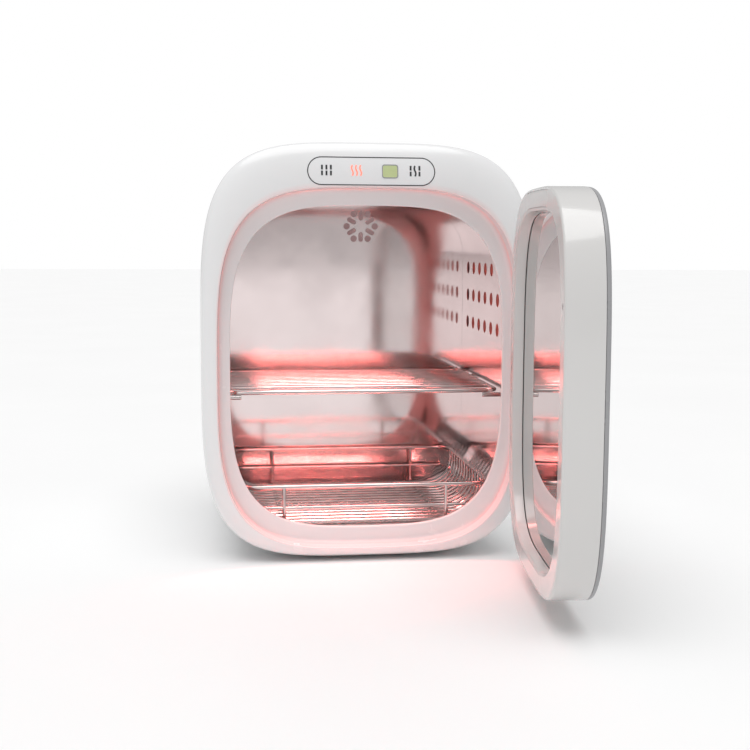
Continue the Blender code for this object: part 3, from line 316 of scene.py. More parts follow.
def sheet_steel(name, colour, roughness, wave_depth_mm):
    """Polished sheet: long shallow waves, faint polishing lines and a few dull patches."""
    nodes = Nodes(name)
    nodes.shader.inputs["Metallic"].default_value = 1.0
    nodes.paint(nodes.noise(14.0, 4.0), colour, scaled(colour, 0.93))
    nodes.vary_gloss(nodes.noise(22.0, 5.0), roughness * 0.7, roughness * 1.5)
    waves = nodes.bump(nodes.noise(9.0, 1.0), 1.0, wave_depth_mm * MM)
    lines = nodes.bump(nodes.noise(60.0, 3.0, (1.0, 30.0, 1.0)), 0.05, 0.02 * MM, waves)
    nodes.link(lines, nodes.shader.inputs["Normal"])
    return nodes.material


def wire_steel(name, colour, roughness):
    """Drawn and polished wire with fine variation and grain."""
    nodes = Nodes(name)
    nodes.shader.inputs["Metallic"].default_value = 1.0
    nodes.paint(nodes.noise(60.0, 3.0), colour, scaled(colour, 0.85))
    nodes.vary_gloss(nodes.noise(150.0, 3.0), roughness * 0.7, roughness * 1.4)
    nodes.link(nodes.bump(nodes.noise(1200.0, 2.0), 0.1, 0.03 * MM), nodes.shader.inputs["Normal"])
    return nodes.material


def plated_steel(name, colour, roughness):
    """Zinc or nickel plating with a mottled crystal pattern."""
    nodes = Nodes(name)
    nodes.shader.inputs["Metallic"].default_value = 1.0
    cells = nodes.tree.nodes.new("ShaderNodeTexVoronoi")
    cells.inputs["Scale"].default_value = 350.0
    nodes.link(nodes.position, cells.inputs["Vector"])
    nodes.paint(cells.outputs["Distance"], colour, scaled(colour, 0.8))
    nodes.vary_gloss(nodes.noise(120.0, 3.0), roughness * 0.8, roughness * 1.3)
    return nodes.material


def mirror_glass(name, colour, roughness):
    """Tinted pane with a mirror coat and a trace of haze."""
    nodes = Nodes(name)
    nodes.shader.inputs["Metallic"].default_value = 1.0
    nodes.paint(nodes.noise(8.0, 4.0), colour, scaled(colour, 0.94))
    nodes.vary_gloss(nodes.noise(30.0, 4.0), roughness * 0.5, roughness * 1.5)
    return nodes.material


def lit_material(name, colour, glow, strength, roughness=0.15):
    """A surface that gives off light, a little stronger in places."""
    nodes = Nodes(name)
    nodes.paint(nodes.noise(80.0, 2.0), colour, scaled(colour, 0.9))
    nodes.shader.inputs["Roughness"].default_value = roughness
    nodes.shader.inputs["Emission Color"].default_value = (*glow, 1.0)
    level = nodes.spread(nodes.noise(25.0, 1.0), strength * 0.9, strength * 1.1)
    nodes.link(level, nodes.shader.inputs["Emission Strength"])
    return nodes.material


WHITE = moulding("gloss_white", (0.82, 0.82, 0.825), 0.24, coat=0.35).material
# The bezel's white gets a painted pink glow near the opening, standing in for the chamber's light.
BEZEL_WHITE_PAINTED_GLOW = painted_glow_moulding("bezel_white_painted_glow", (0.82, 0.82, 0.825), (0.95, 0.62, 0.61), 0.24, 0.35)
# The door's white is darker than the cabinet's white: painted shade on the same plastic, to match its shaded
# sides.
DOOR_WHITE_PAINTED_SHADE = moulding("door_white_painted_shade", (0.66, 0.65, 0.64), 0.2, coat=0.5).material
INNER_WHITE = moulding("door_inner_white", (0.6, 0.6, 0.595), 0.3, coat=0.2).material
PEARL = moulding("pearl_grey", (0.78, 0.78, 0.79), 0.38, texture_mm=0.9, depth_mm=0.03).material
TRIM = moulding("grey_trim", (0.33, 0.33, 0.34), 0.3).material
FILM = moulding("overlay_film", (0.83, 0.83, 0.84), 0.2, coat=0.3, depth_mm=0.004).material
INK = moulding("printed_ink", (0.03, 0.03, 0.035), 0.35, depth_mm=0.005, wave=0.2).material
DARK = moulding("dark_moulding", (0.035, 0.035, 0.04), 0.45, depth_mm=0.02, wave=0.15).material
RUBBER = moulding("foot_rubber", (0.05, 0.05, 0.05), 0.75, texture_mm=0.8, depth_mm=0.05, wave=0.25).material
BOARD = moulding("circuit_board", (0.03, 0.16, 0.07), 0.45, texture_mm=2.0, depth_mm=0.03, wave=0.3).material
# The steel's pink tint is painted light: the chamber's pink glow painted into the metal's colour, which is
# neutral.
STEEL_PAINTED_PINK = sheet_steel("mirror_steel_painted_pink", (0.84, 0.73, 0.725), 0.09, 0.3)
WIRE = wire_steel("steel_wire", (0.6, 0.56, 0.55), 0.16)
ZINC = plated_steel("zinc_plate", (0.62, 0.62, 0.6), 0.32)
NICKEL = plated_steel("nickel_plate", (0.55, 0.55, 0.55), 0.25)
PANE = mirror_glass("mirror_pane", (0.68, 0.67, 0.665), 0.02)
HEATER = lit_material("heater_tube", (0.9, 0.1, 0.06), (1.0, 0.13, 0.09), 9.0)
LAMP = lit_material("lamp_tube", (0.85, 0.8, 0.9), (1.0, 0.45, 0.42), 3.0)
# The fan and the duct are no lamps: their faint emission is a painted glow, standing in for the chamber's
# red light on them.
FAN_GREY_PAINTED_GLOW = lit_material("fan_painted_glow", (0.5, 0.42, 0.42), (0.6, 0.42, 0.42), 0.22, 0.5)
DUCT_RED_PAINTED_GLOW = lit_material("duct_painted_glow", (0.55, 0.25, 0.22), (0.8, 0.13, 0.1), 0.16, 0.5)
DISPLAY = lit_material("display_lit", (0.42, 0.47, 0.24), (0.5, 0.58, 0.3), 0.25)
LIT_RED = lit_material("lit_icon", (0.9, 0.2, 0.15), (1.0, 0.16, 0.1), 1.1)


# ---------------------------------------------------------------- outlines and paths

def squircle(shape, inset=0.0):
    """Points (x, z) of a superellipse outline, moved inwards by an inset."""
    half_width, half_height, power, centre_z = shape
    points = []
    for step in range(RING_POINTS):
        turn = 2 * math.pi * step / RING_POINTS
        across = half_width * math.copysign(abs(math.cos(turn)) ** CORNER_BIAS, math.cos(turn))
        along = half_height * math.copysign(abs(math.sin(turn)) ** CORNER_BIAS, math.sin(turn))
        level = abs(across / (half_width - inset)) ** power + abs(along / (half_height - inset)) ** power
        scale = level ** (-1 / power)
        points.append((across * scale, centre_z + along * scale))
    return points


def mix(first, second, share):
    """The superellipse that lies a share of the way from the first to the second."""
    return tuple(a + (b - a) * share for a, b in zip(first, second))


def round_rectangle(half_width, half_height, radius, centre=(0.0, 0.0), steps=12):
    """Points of a rectangle with round corners."""
    points = []
    for quarter in range(4):
        sign_x = 1 if quarter in (0, 3) else -1
        sign_y = 1 if quarter in (0, 1) else -1
        corner_x = centre[0] + sign_x * (half_width - radius)
        corner_y = centre[1] + sign_y * (half_height - radius)
        for step in range(steps + 1):
            angle = math.pi / 2 * (quarter + step / steps)
            points.append((corner_x + radius * math.cos(angle), corner_y + radius * math.sin(angle)))
    return points


def circle(radius, centre=(0.0, 0.0), count=32):
    """Points of a circle."""
    turns = [2 * math.pi * step / count for step in range(count)]
    return [(centre[0] + radius * math.cos(t), centre[1] + radius * math.sin(t)) for t in turns]


def at_depth(points, y):
    """Lift an (x, z) outline to the depth y."""
    return [(x, y, z) for x, z in points]


def at_height(points, z):
    """Lift an (x, y) outline to the height z."""
    return [(x, y, z) for x, y in points]


def rounded(path, closed=False, steps=ROUND_STEPS):
    """Round a path's corners. A corner is (u, v, radius); the result is a list of (u, v)."""
    result = []
    count = len(path)
    for i, (u, v, radius) in enumerate(path):
        here = Vector((u, v))
        if radius <= 0 or (not closed and i in (0, count - 1)):
            result.append((u, v))
            continue
        before = Vector(path[i - 1][:2]) - here
        after = Vector(path[(i + 1) % count][:2]) - here
        half = before.angle(after) / 2
        reach = min(radius / math.tan(half), before.length * 0.48, after.length * 0.48)
        start, end = here + before.normalized() * reach, here + after.normalized() * reach
        for step in range(steps + 1):
            t = step / steps
            point = start * (1 - t) ** 2 + here * 2 * t * (1 - t) + end * t ** 2
            result.append((point.x, point.y))
    return result


# ---------------------------------------------------------------- mesh helpers

def add_loft(mesh_data, loops, closed=False):
    """Skin a stack of equal loops. A closed stack makes a ring, an open one gets end caps."""
    rings = [[mesh_data.verts.new(point) for point in loop] for loop in loops]
    pairs = list(zip(rings, rings[1:]))
    if closed:
        pairs.append((rings[-1], rings[0]))
    else:
        mesh_data.faces.new(rings[0])
        mesh_data.faces.new(rings[-1])
    for lower, upper in pairs:
        for i, start in enumerate(lower):
            j = (i + 1) % len(lower)
            mesh_data.faces.new((start, lower[j], upper[j], upper[i]))


def add_tube(mesh_data, path, radius, normal, sides=10, closed=False):
    """A round wire swept along a path that lies in the plane with the given normal."""
    path = [Vector(point) for point in path]
    normal = Vector(normal).normalized()
    loops = []
    for i, point in enumerate(path):
        before = path[i - 1] if closed or i > 0 else point
        after = path[(i + 1) % len(path)] if closed or i < len(path) - 1 else point
        side = (after - before).normalized().cross(normal)
        turns = [2 * math.pi * step / sides for step in range(sides)]
        loops.append([point + radius * (math.cos(t) * normal + math.sin(t) * side) for t in turns])
    add_loft(mesh_data, loops, closed)


def add_rod(mesh_data, start, end, radius, sides=24, edge=0.0):
    """A rod between two points, with rounded ends of the given edge radius."""
    start, end = Vector(start), Vector(end)
    direction = (end - start).normalized()
    across = direction.orthogonal().normalized()
    third = direction.cross(across)
    profile = [(0.0, radius)]
    if edge > 0:
        profile = [(edge * (1 - math.cos(a)), radius - edge * (1 - math.sin(a)))
                   for a in (0.0, 0.4, 0.8, 1.2, math.pi / 2)]
    length = (end - start).length
    stations = profile + [(length - along, size) for along, size in reversed(profile)]
    loops = []
    for along, size in stations:
        centre = start + direction * along
        turns = [2 * math.pi * step / sides for step in range(sides)]
        loops.append([centre + size * (math.cos(t) * across + math.sin(t) * third) for t in turns])
    add_loft(mesh_data, loops)


def add_block(mesh_data, low, high, edge=0.0):
    """A box between two corners, with rounded edges."""
    low, high = Vector(low), Vector(high)
    size = Matrix.Diagonal((*(high - low), 1.0))
    place = Matrix.Translation((low + high) / 2) @ size
    made = bmesh.ops.create_cube(mesh_data, size=1.0, matrix=place)
    if edge > 0:
        edges = list({e for vert in made["verts"] for e in vert.link_edges})
        bmesh.ops.bevel(mesh_data, geom=edges, offset=edge, segments=3, profile=0.5, affect="EDGES")


def piece(name, mesh_data, surface, body, replaced=(), place=CABINET_PLACE, sharp=32.0):
    """Turn a bmesh into a finished piece that rides on a body."""
    bmesh.ops.recalc_face_normals(mesh_data, faces=mesh_data.faces)
    mesh = bpy.data.meshes.new(name)
    mesh_data.to_mesh(mesh)
    mesh_data.free()
    mesh.transform(place)
    mesh.shade_smooth()
    mesh.set_sharp_from_angle(angle=math.radians(sharp))
    mesh.materials.append(surface)
    result = bpy.data.objects.new(name, mesh)
    bpy.context.scene.collection.objects.link(result)
    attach(result, body)
    if replaced:
        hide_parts(*replaced)
    return result


def lofted(name, loops, surface, body, replaced=(), closed=False, place=CABINET_PLACE, sharp=32.0):
    """A piece that is skinned over a stack of loops."""
    mesh_data = bmesh.new()
    add_loft(mesh_data, loops, closed)
    return piece(name, mesh_data, surface, body, replaced, place, sharp)


def carve(target, build, place=CABINET_PLACE):
    """Cut a piece with the bodies that build(mesh_data) adds, and apply the cut."""
    mesh_data = bmesh.new()
    build(mesh_data)
    bmesh.ops.recalc_face_normals(mesh_data, faces=mesh_data.faces)
    mesh = bpy.data.meshes.new("cutter")
    mesh_data.to_mesh(mesh)
    mesh_data.free()
    mesh.transform(place)
    tool = bpy.data.objects.new("cutter", mesh)
    bpy.context.scene.collection.objects.link(tool)
    modifier = target.modifiers.new("cut", "BOOLEAN")
    modifier.operation = "DIFFERENCE"
    modifier.solver = "EXACT"
    modifier.object = tool
    graph = bpy.context.evaluated_depsgraph_get()
    result = bpy.data.meshes.new_from_object(target.evaluated_get(graph))
    target.modifiers.clear()
    target.data = result
    bpy.data.objects.remove(tool, do_unlink=True)


def even_normals(target):
    """Let large flat faces set the normals, so that reflections in them stay flat."""
    modifier = target.modifiers.new("even_normals", "WEIGHTED_NORMAL")
    modifier.keep_sharp = True
    modifier.weight = 100


def store_painted_glow(target, loops, values):
    """Store one painted-glow value for each loop of a lofted piece; the painted pink glow in the bezel's
    colour follows it.
    """
    layer = target.data.attributes.new("glow", "FLOAT", "POINT")
    for index in range(len(target.data.vertices)):
        layer.data[index].value = values[index // RING_POINTS] if index < loops * RING_POINTS else 0.0


# ---------------------------------------------------------------- cabinet

def bezel_front_y(x, z):
    """Depth of the bezel's domed front surface at a point of its border."""
    low, high = 0.0, 1.0
    for _ in range(30):
        share = (low + high) / 2
        half_width, half_height, power, centre_z = mix(RECESS, BODY, share)
        level = abs(x / half_width) ** power + abs((z - centre_z) / half_height) ** power
        if level > 1:
            low = share
        else:
            high = share
    return SHOULDER_Y + (FRONT_Y - SHOULDER_Y) * math.sqrt(1 - share ** 2)


def make_bezel():
    """Domed front moulding with a recess for the door and a lip round the opening."""
    # Each section is a share from the recess's outline to the body's, an inset, a depth and a painted-glow
    # value
    sections = [(1.0, 0.9, BEZEL_END_Y, 0.0), (1.0, 0.2, BEZEL_END_Y - 0.3, 0.0),
                (1.0, 0.0, BEZEL_END_Y - 1.0, 0.0), (1.0, 0.0, 12.0, 0.0)]
    dome_steps = 16
    for step in range(dome_steps + 1):
        turn = math.acos(LIP_SHARE) * step / dome_steps
        depth = SHOULDER_Y + (FRONT_Y - SHOULDER_Y) * math.sin(turn)
        sections.append((math.cos(turn), 0.0, depth, 0.0))
    # The lip and the cove carry a painted pink glow, strongest in the cove: the chamber's light painted into
    # the plastic's colour.
    lip = [(-0.85, -20.93), (-0.5, -20.8), (-0.22, -20.5), (-0.05, -20.0), (0.0, -19.3), (0.3, -8.0)]
    sections += [(0.0, inset, depth, 0.35) for inset, depth in lip]
    cove = [(0.5, -6.4, 1.0), (0.9, -5.0, 0.9), (1.6, -3.8, 0.7), (2.6, -2.8, 0.45), (4.0, -2.1, 0.2),
            (5.6, -1.75, 0.1)]
    sections += [(0.0, inset, depth, value) for inset, depth, value in cove]
    # The recess's floor has no inset: its share runs to the opening's outline
    floor_start, floor_rise, floor_painted_glow = -1.75, 0.85, 0.06
    for share in (0.45, 0.7, 0.9):
        sections.append((share, None, floor_start + floor_rise * share, floor_painted_glow))
    loops, glow = [], []
    for share, inset, depth, value in sections:
        if inset is None:
            outline = squircle(mix(mix(RECESS, OPENING, 0.35), OPENING, share))
        else:
            outline = squircle(mix(RECESS, BODY, share), inset)
        loops.append(at_depth(outline, depth))
        glow.append(value)
    # The opening's edge carries a faint painted pink glow.
    opening_edge = ((-1.2, -0.85), (-0.5, -0.6), (-0.1, -0.1), (0.0, 0.6), (0.0, 2.9), (-1.5, 2.9))
    for inset, depth in opening_edge:
        loops.append(at_depth(squircle(OPENING, inset), depth))
        glow.append(0.04)
    for inset, depth in ((-3.0, 2.9), (-3.0, -14.0)):
        loops.append(at_depth(squircle(RECESS, inset), depth))
        glow.append(0.0)
    loops.append(at_depth(squircle(mix(RECESS, BODY, 0.7), 2.0), -8.0))
    loops.append(at_depth(squircle(BODY, 3.0), BEZEL_END_Y))
    glow += [0.0, 0.0]
    bezel = lofted("bezel_moulding", loops, BEZEL_WHITE_PAINTED_GLOW, "cabinet", ["front_bezel"], closed=True)
    store_painted_glow(bezel, len(loops), glow)

    notch_inwards, notch_outwards, notch_depth, notch_edge = 13.0, 7.0, 5.6, 0.8
    leaf_half, leaf_room = 3.3, 0.2
    for word in ("upper", "lower"):
        low, high = local_box("hinge_bracket_" + word)

        def notch(data, base=low.z - GAP, top=high.z + GAP):
            add_block(data, (HINGE.x - notch_inwards, -30, base),
                      (HINGE.x + notch_outwards, HINGE.y + notch_depth, top), notch_edge)

        def leaf_slot(data, base=low.z, top=high.z):
            add_block(data, (HINGE.x - leaf_half, -29, base - leaf_room),
                      (HINGE.x + leaf_half, 0, top + leaf_room))

        carve(bezel, notch)
        carve(bezel, leaf_slot)


def make_casing():
    """Tube behind the bezel with rounded seams and four foot bosses."""
    start = BEZEL_END_Y + GAP
    profile = rounded([
        (0.0, start, 0.8), (REAR_TAPER, CASING_END_Y, 0.8), (REAR_TAPER + CASING_SKIN, CASING_END_Y, 0.3),
        (CASING_SKIN, start, 0.3),
    ], closed=True, steps=4)
    loops = [at_depth(squircle(BODY, inset), y) for inset, y in profile]
    mesh_data = bmesh.new()
    add_loft(mesh_data, loops, closed=True)
    for node in ("foot_front_left", "foot_front_right", "foot_rear_left", "foot_rear_right"):
        low, high = local_box(node)
        centre = middle(low, high)[:2]
        boss = [(13.0, 11.0), (13.0, 1.2), (12.2, GAP), (3.0, GAP)]
        add_loft(mesh_data, [at_height(circle(radius, centre, 40), high.z + rise) for radius, rise in boss])
    piece("casing_moulding", mesh_data, WHITE, "cabinet", ["casing_shell"])


def make_feet():
    """Rubber feet with a rounded edge and a recessed ring underneath."""
    for end in ("front", "rear"):
        for side in ("left", "right"):
            node = "foot_%s_%s" % (end, side)
            low, high = local_box(node)
            centre = middle(low, high)[:2]
            radius = (high.x - low.x) / 2
            top, base = high.z, low.z
            profile = rounded([(radius * 0.5, top, 0), (radius, top, 0.4), (radius, base, 1.2),
                               (radius * 0.62, base, 0.3), (radius * 0.55, base + 0.9, 0.3),
                               (radius * 0.3, base + 0.9, 0)], steps=4)
            loops = [at_height(circle(size, centre, 40), z) for size, z in profile]
            lofted("rubber_" + node, loops, RUBBER, "cabinet", [node])


def make_rear():
    """Dished rear cover with its vents."""
    rim = CASING_END_Y + GAP
    outer = rounded([(4.0, rim, 0.6), (4.2, 279.0, 9.0), (10.5, BACK_Y, 8.0), (60.0, BACK_Y, 0)], steps=8)
    outer = [(4.9, rim)] + outer[1:]
    inner = [(12.5, 282.3), (8.6, 279.5), (6.6, rim)]
    loops = [at_depth(squircle(BODY, inset), y) for inset, y in inner + outer]
    cover = lofted("rear_moulding", loops, PEARL, "cabinet", ["rear_cover"])

    def openings(data):
        start, end = 281.0, 287.0
        for row in range(REAR_VENT_ROWS):
            half_width, half_height = REAR_VENT_HALVES
            z = FAN_Z - 20 + row * REAR_VENT_PITCH
            slot = round_rectangle(half_width, half_height, half_height - 0.05, (FAN_X, z + half_height), 6)
            add_loft(data, [at_depth(slot, start), at_depth(slot, end)])
        for column in range(LOWER_VENT_COLUMNS):
            half_width, half_height = LOWER_VENT_HALVES
            x = LOWER_VENT_X + column * LOWER_VENT_PITCH
            centre = (x, LOWER_VENT_HEIGHT - ORIGIN.z)
            slot = round_rectangle(half_width, half_height, half_width - 0.05, centre, 6)
            add_loft(data, [at_depth(slot, start), at_depth(slot, end)])
        low, high = local_box("power_inlet")
        flange = 1.7
        add_block(data, (low.x + flange, 275, low.z + flange), (high.x - flange, 290, high.z - flange))

    carve(cover, openings)
    even_normals(cover)


def make_screws():
    """Four rear screws with a domed head and a cross slot."""
    slot_reach, slot_half = 1.7, 0.3
    for side in ("left", "right"):
        for level in ("lower", "upper"):
            node = "rear_screw_%s_%s" % (level, side)
            low, high = local_box(node)
            centre_x, _, centre_z = middle(low, high)
            top = high.y
            profile = [(3.2, HEAD_BASE_Y), (3.2, 285.6), (2.95, top - 0.55), (2.4, top - 0.15), (1.4, top)]
            loops = [at_depth(circle(radius, (centre_x, centre_z), 36), y) for radius, y in profile]
            screw = lofted("screw_" + level + "_" + side, loops, ZINC, "cabinet", [node])

            def slot_across(data, x=centre_x, z=centre_z, y=top):
                add_block(data, (x - slot_reach, y - 1.1, z - slot_half),
                          (x + slot_reach, y + 1, z + slot_half))

            def slot_upright(data, x=centre_x, z=centre_z, y=top):
                reach, half = slot_reach + 0.01, slot_half + 0.01
                add_block(data, (x - half, y - 1.15, z - reach), (x + half, y + 1, z + reach))

            carve(screw, slot_across)
            carve(screw, slot_upright)


def make_inlet():
    """Power inlet: a flanged frame round a socket with two contact pins."""
    low, high = local_box("power_inlet")
    middle_x, _, middle_z = middle(low, high)
    half_x, half_z = (high.x - low.x) / 2, (high.z - low.z) / 2
    # Each section is an inset in X, an inset in Z, a corner radius and a depth
    sections = [
        (6.0, 7.5, 2.0, 272.0), (5.5, 7.0, 2.5, 272.0), (5.5, 7.0, 2.5, 286.5), (5.0, 6.5, 2.8, 287.0),
        (0.4, 0.4, 2.6, 287.0), (0.0, 0.0, 3.0, 286.6), (0.0, 0.0, 3.0, HEAD_BASE_Y),
        (2.1, 2.1, 2.0, HEAD_BASE_Y), (2.1, 2.1, 2.0, 262.0),
    ]
    loops = []
    for inset_x, inset_z, radius, y in sections:
        outline = round_rectangle(half_x - inset_x, half_z - inset_z, radius, (middle_x, middle_z), 6)
        loops.append(at_depth(outline, y))
    mesh_data = bmesh.new()
    add_loft(mesh_data, loops)
    pin_reach, pin_radius = 4.3, 1.2
    for side in (-1, 1):
        x = middle_x + side * pin_reach
        add_rod(mesh_data, (x, 271.5, middle_z), (x, 283.0, middle_z), pin_radius, 16, 0.5)
    piece("inlet_moulding", mesh_data, DARK, "cabinet", ["power_inlet"])


# ---------------------------------------------------------------- control panel

def panel_point(x, z, lift):
    """A point on the bezel's dome, lifted off it towards the front."""
    return (x, bezel_front_y(x, z) - lift, z)


def add_film(mesh_data, outline, spine, lift, rings=6):
    """A patch on the dome: rings shrink from an outline to its spine, with a turned-down edge."""
    start = [mesh_data.verts.new(panel_point(x, z, -0.3)) for x, z in outline]
    previous = start
    for ring in range(rings + 1):
        share = ring / rings
        current = []
        for (x, z), (inner_x, inner_z) in zip(outline, spine):
            current.append(mesh_data.verts.new(
                panel_point(x + (inner_x - x) * share, z + (inner_z - z) * share, lift)))
        for i, vert in enumerate(previous):
            j = (i + 1) % len(previous)
            mesh_data.faces.new((vert, previous[j], current[j], current[i]))
        previous = current
    bmesh.ops.remove_doubles(mesh_data, verts=mesh_data.verts, dist=0.02)


def pill(half_width, half_height, centre):
    """A pill's outline and the matching points of its spine."""
    outline = round_rectangle(half_width, half_height, half_height - 0.001, centre, 20)
    reach = half_width - half_height
    spine = [(min(max(x, centre[0] - reach), centre[0] + reach), centre[1]) for x, _ in outline]
    return outline, spine


def add_stroke(mesh_data, points, width, lift):
    """A printed line on the dome through the given (x, z) points."""
    thickness = 0.12
    left, right = [], []
    for i, (x, z) in enumerate(points):
        ahead = points[min(i + 1, len(points) - 1)]
        behind = points[max(i - 1, 0)]
        direction = Vector((ahead[0] - behind[0], ahead[1] - behind[1])).normalized()
        offset = Vector((-direction.y, direction.x)) * width / 2
        left.append((x + offset.x, z + offset.y))
        right.append((x - offset.x, z - offset.y))
    top, base = [
        [[mesh_data.verts.new(panel_point(x, z, height)) for x, z in side] for side in (left, right)]
        for height in (lift, lift - thickness)
    ]
    for i in range(len(points) - 1):
        mesh_data.faces.new((top[0][i], top[0][i + 1], top[1][i + 1], top[1][i]))
        mesh_data.faces.new((base[0][i], base[1][i], base[1][i + 1], base[0][i + 1]))
        for side in (0, 1):
            mesh_data.faces.new((top[side][i], base[side][i], base[side][i + 1], top[side][i + 1]))
    for end in (0, -1):
        mesh_data.faces.new((top[0][end], top[1][end], base[1][end], base[0][end]))


def wave_points(x, low, high):
    """A vertical wavy line."""
    steps, swing = 16, 0.75
    points = []
    for step in range(steps + 1):
        share = step / steps
        points.append((x + swing * math.sin(share * 2 * math.pi), low + (high - low) * share))
    return points


def make_panel():
    """Printed film with its outline, the icons, and the framed display."""
    film_lift = 0.12
    ink_lift = 0.24
    outline, spine = pill(PANEL_HALF_WIDTH, PANEL_HALF_HEIGHT, (PANEL_X, PANEL_Z))
    mesh_data = bmesh.new()
    add_film(mesh_data, outline, spine, film_lift)
    piece("panel_film", mesh_data, FILM, "cabinet", ["control_overlay"])

    line_width = 0.95
    inner = pill(PANEL_HALF_WIDTH - line_width, PANEL_HALF_HEIGHT - line_width, (PANEL_X, PANEL_Z))[0]
    mesh_data = bmesh.new()
    loops = [[panel_point(x, z, lift) for x, z in line]
             for line, lift in ((outline, film_lift - 0.05), (outline, ink_lift), (inner, ink_lift),
                                (inner, film_lift - 0.05))]
    add_loft(mesh_data, loops, closed=True)
    piece("panel_outline", mesh_data, INK, "cabinet")

    bars_x, lit_x, auto_x = -43.7, -14.7, 42.4
    icon_z = PANEL_Z + 0.6
    half_height = 5.0
    half_gap = 0.55
    bar_pitch, bar_width = 4.3, 1.8
    mesh_data = bmesh.new()
    for key_x, columns in ((bars_x, (-1, 0, 1)), (auto_x, (-1, 1))):
        for column in columns:
            x = PANEL_X + key_x + column * bar_pitch
            for start, end in ((half_gap, half_height), (-half_height, -half_gap)):
                add_stroke(mesh_data, [(x, icon_z + start), (x, icon_z + end)], bar_width, ink_lift)
    wave = wave_points(PANEL_X + auto_x, icon_z - half_height, icon_z + half_height)
    add_stroke(mesh_data, wave, 1.6, ink_lift)
    piece("panel_icons", mesh_data, INK, "cabinet")

    lit_pitch, lit_width = 4.0, 1.3
    mesh_data = bmesh.new()
    for column in (-1, 0, 1):
        x = PANEL_X + lit_x + column * lit_pitch
        wave = wave_points(x, icon_z - half_height, icon_z + half_height)
        add_stroke(mesh_data, wave, lit_width, ink_lift)
    piece("panel_lit_icon", mesh_data, LIT_RED, "cabinet")

    lcd_centre = (LCD_X, PANEL_Z)
    window = round_rectangle(LCD_HALF_WIDTH, LCD_HALF_HEIGHT, 2.5, lcd_centre, 8)
    shrunk = round_rectangle(LCD_HALF_WIDTH - 0.9, LCD_HALF_HEIGHT - 0.9, 1.8, lcd_centre, 8)
    mesh_data = bmesh.new()
    loops = [[panel_point(x, z, lift) for x, z in line]
             for line, lift in ((window, film_lift - 0.05), (window, 0.45), (shrunk, 0.45), (shrunk, 0.1))]
    add_loft(mesh_data, loops, closed=True)
    piece("display_frame", mesh_data, TRIM, "cabinet")
    inside = round_rectangle(LCD_HALF_WIDTH - 0.95, LCD_HALF_HEIGHT - 0.95, 1.8, lcd_centre, 8)
    mesh_data = bmesh.new()
    add_film(mesh_data, inside, [lcd_centre] * len(inside), 0.28, 4)
    piece("display_lens", mesh_data, DISPLAY, "cabinet", ["lcd_window"])


# ---------------------------------------------------------------- chamber

def make_chamber():
    """Polished wrap and back wall, with the vents, the lamp window and the fan grille."""
    back = CHAMBER_BACK_Y - GAP
    depths = [CHAMBER_FRONT_Y, back]
    inner = round_rectangle(WALL_X, CEILING_Z, CHAMBER_RADIUS, steps=16)
    outer = round_rectangle(WALL_X + SHEET, CEILING_Z + SHEET, CHAMBER_RADIUS + SHEET, steps=16)
    loops = [at_depth(inner, y) for y in depths] + [at_depth(outer, y) for y in reversed(depths)]
    wrap = lofted("chamber_lining", loops, STEEL_PAINTED_PINK, "cabinet", ["chamber_wrap"], closed=True, sharp=50)

    def holes(data):
        for z in VENT_ZS:
            for y in VENT_YS:
                add_rod(data, (140, y, z), (152, y, z), VENT_RADIUS, 40)
        add_block(data, (-LAMP_WINDOW_HALF_WIDTH, LAMP_WINDOW_YS[0], CEILING_Z - 6),
                  (LAMP_WINDOW_HALF_WIDTH, LAMP_WINDOW_YS[1], CEILING_Z + 8))

    carve(wrap, holes)
    even_normals(wrap)

    margin = 1.4
    plate = round_rectangle(WALL_X + margin, CEILING_Z + margin, CHAMBER_RADIUS + margin, steps=16)
    loops = [at_depth(plate, CHAMBER_BACK_Y), at_depth(plate, CHAMBER_BACK_Y + SHEET)]
    wall = lofted("chamber_rear_wall", loops, STEEL_PAINTED_PINK, "cabinet", ["chamber_back"], sharp=50)

    def grille(data):
        start, end = CHAMBER_BACK_Y - 4, CHAMBER_BACK_Y + 5
        for step in range(6):
            angle = math.radians(60 * step)
            x, z = FAN_X + GRILLE_RADIUS * math.cos(angle), FAN_Z + GRILLE_RADIUS * math.sin(angle)
            add_rod(data, (x, start, z), (x, end, z), GRILLE_HOLE_RADIUS, 28)
            angle = math.radians(60 * step + 30)
            half_long, half_wide = GRILLE_SLOT_HALVES
            slot = round_rectangle(half_long, half_wide, half_wide - 0.01, (GRILLE_SLOT_CENTRE, 0.0), 8)
            turned = [(FAN_X + u * math.cos(angle) - v * math.sin(angle),
                       FAN_Z + u * math.sin(angle) + v * math.cos(angle)) for u, v in slot]
            add_loft(data, [at_depth(turned, start), at_depth(turned, end)])

    carve(wall, grille)
    even_normals(wall)


def make_lamps():
    """Ceiling lamps: two clear tubes and a lit heater tube, with metal caps."""
    for node, surface in (("uv_lamp_front", LAMP), ("heater_lamp", HEATER), ("uv_lamp_rear", LAMP)):
        low, high = local_box(node)
        _, y, z = middle(low, high)
        radius = (high.z - low.z) / 2
        cap = LAMP_CAP
        mesh_data = bmesh.new()
        add_rod(mesh_data, (low.x + cap, y, z), (high.x - cap, y, z), radius * 0.97, 32, 1.0)
        piece(node + "_tube", mesh_data, surface, "cabinet", [node])
        mesh_data = bmesh.new()
        add_rod(mesh_data, (low.x, y, z), (low.x + cap + 1, y, z), radius, 32, 0.8)
        add_rod(mesh_data, (high.x - cap - 1, y, z), (high.x, y, z), radius, 32, 0.8)
        piece(node + "_caps", mesh_data, NICKEL, "cabinet")


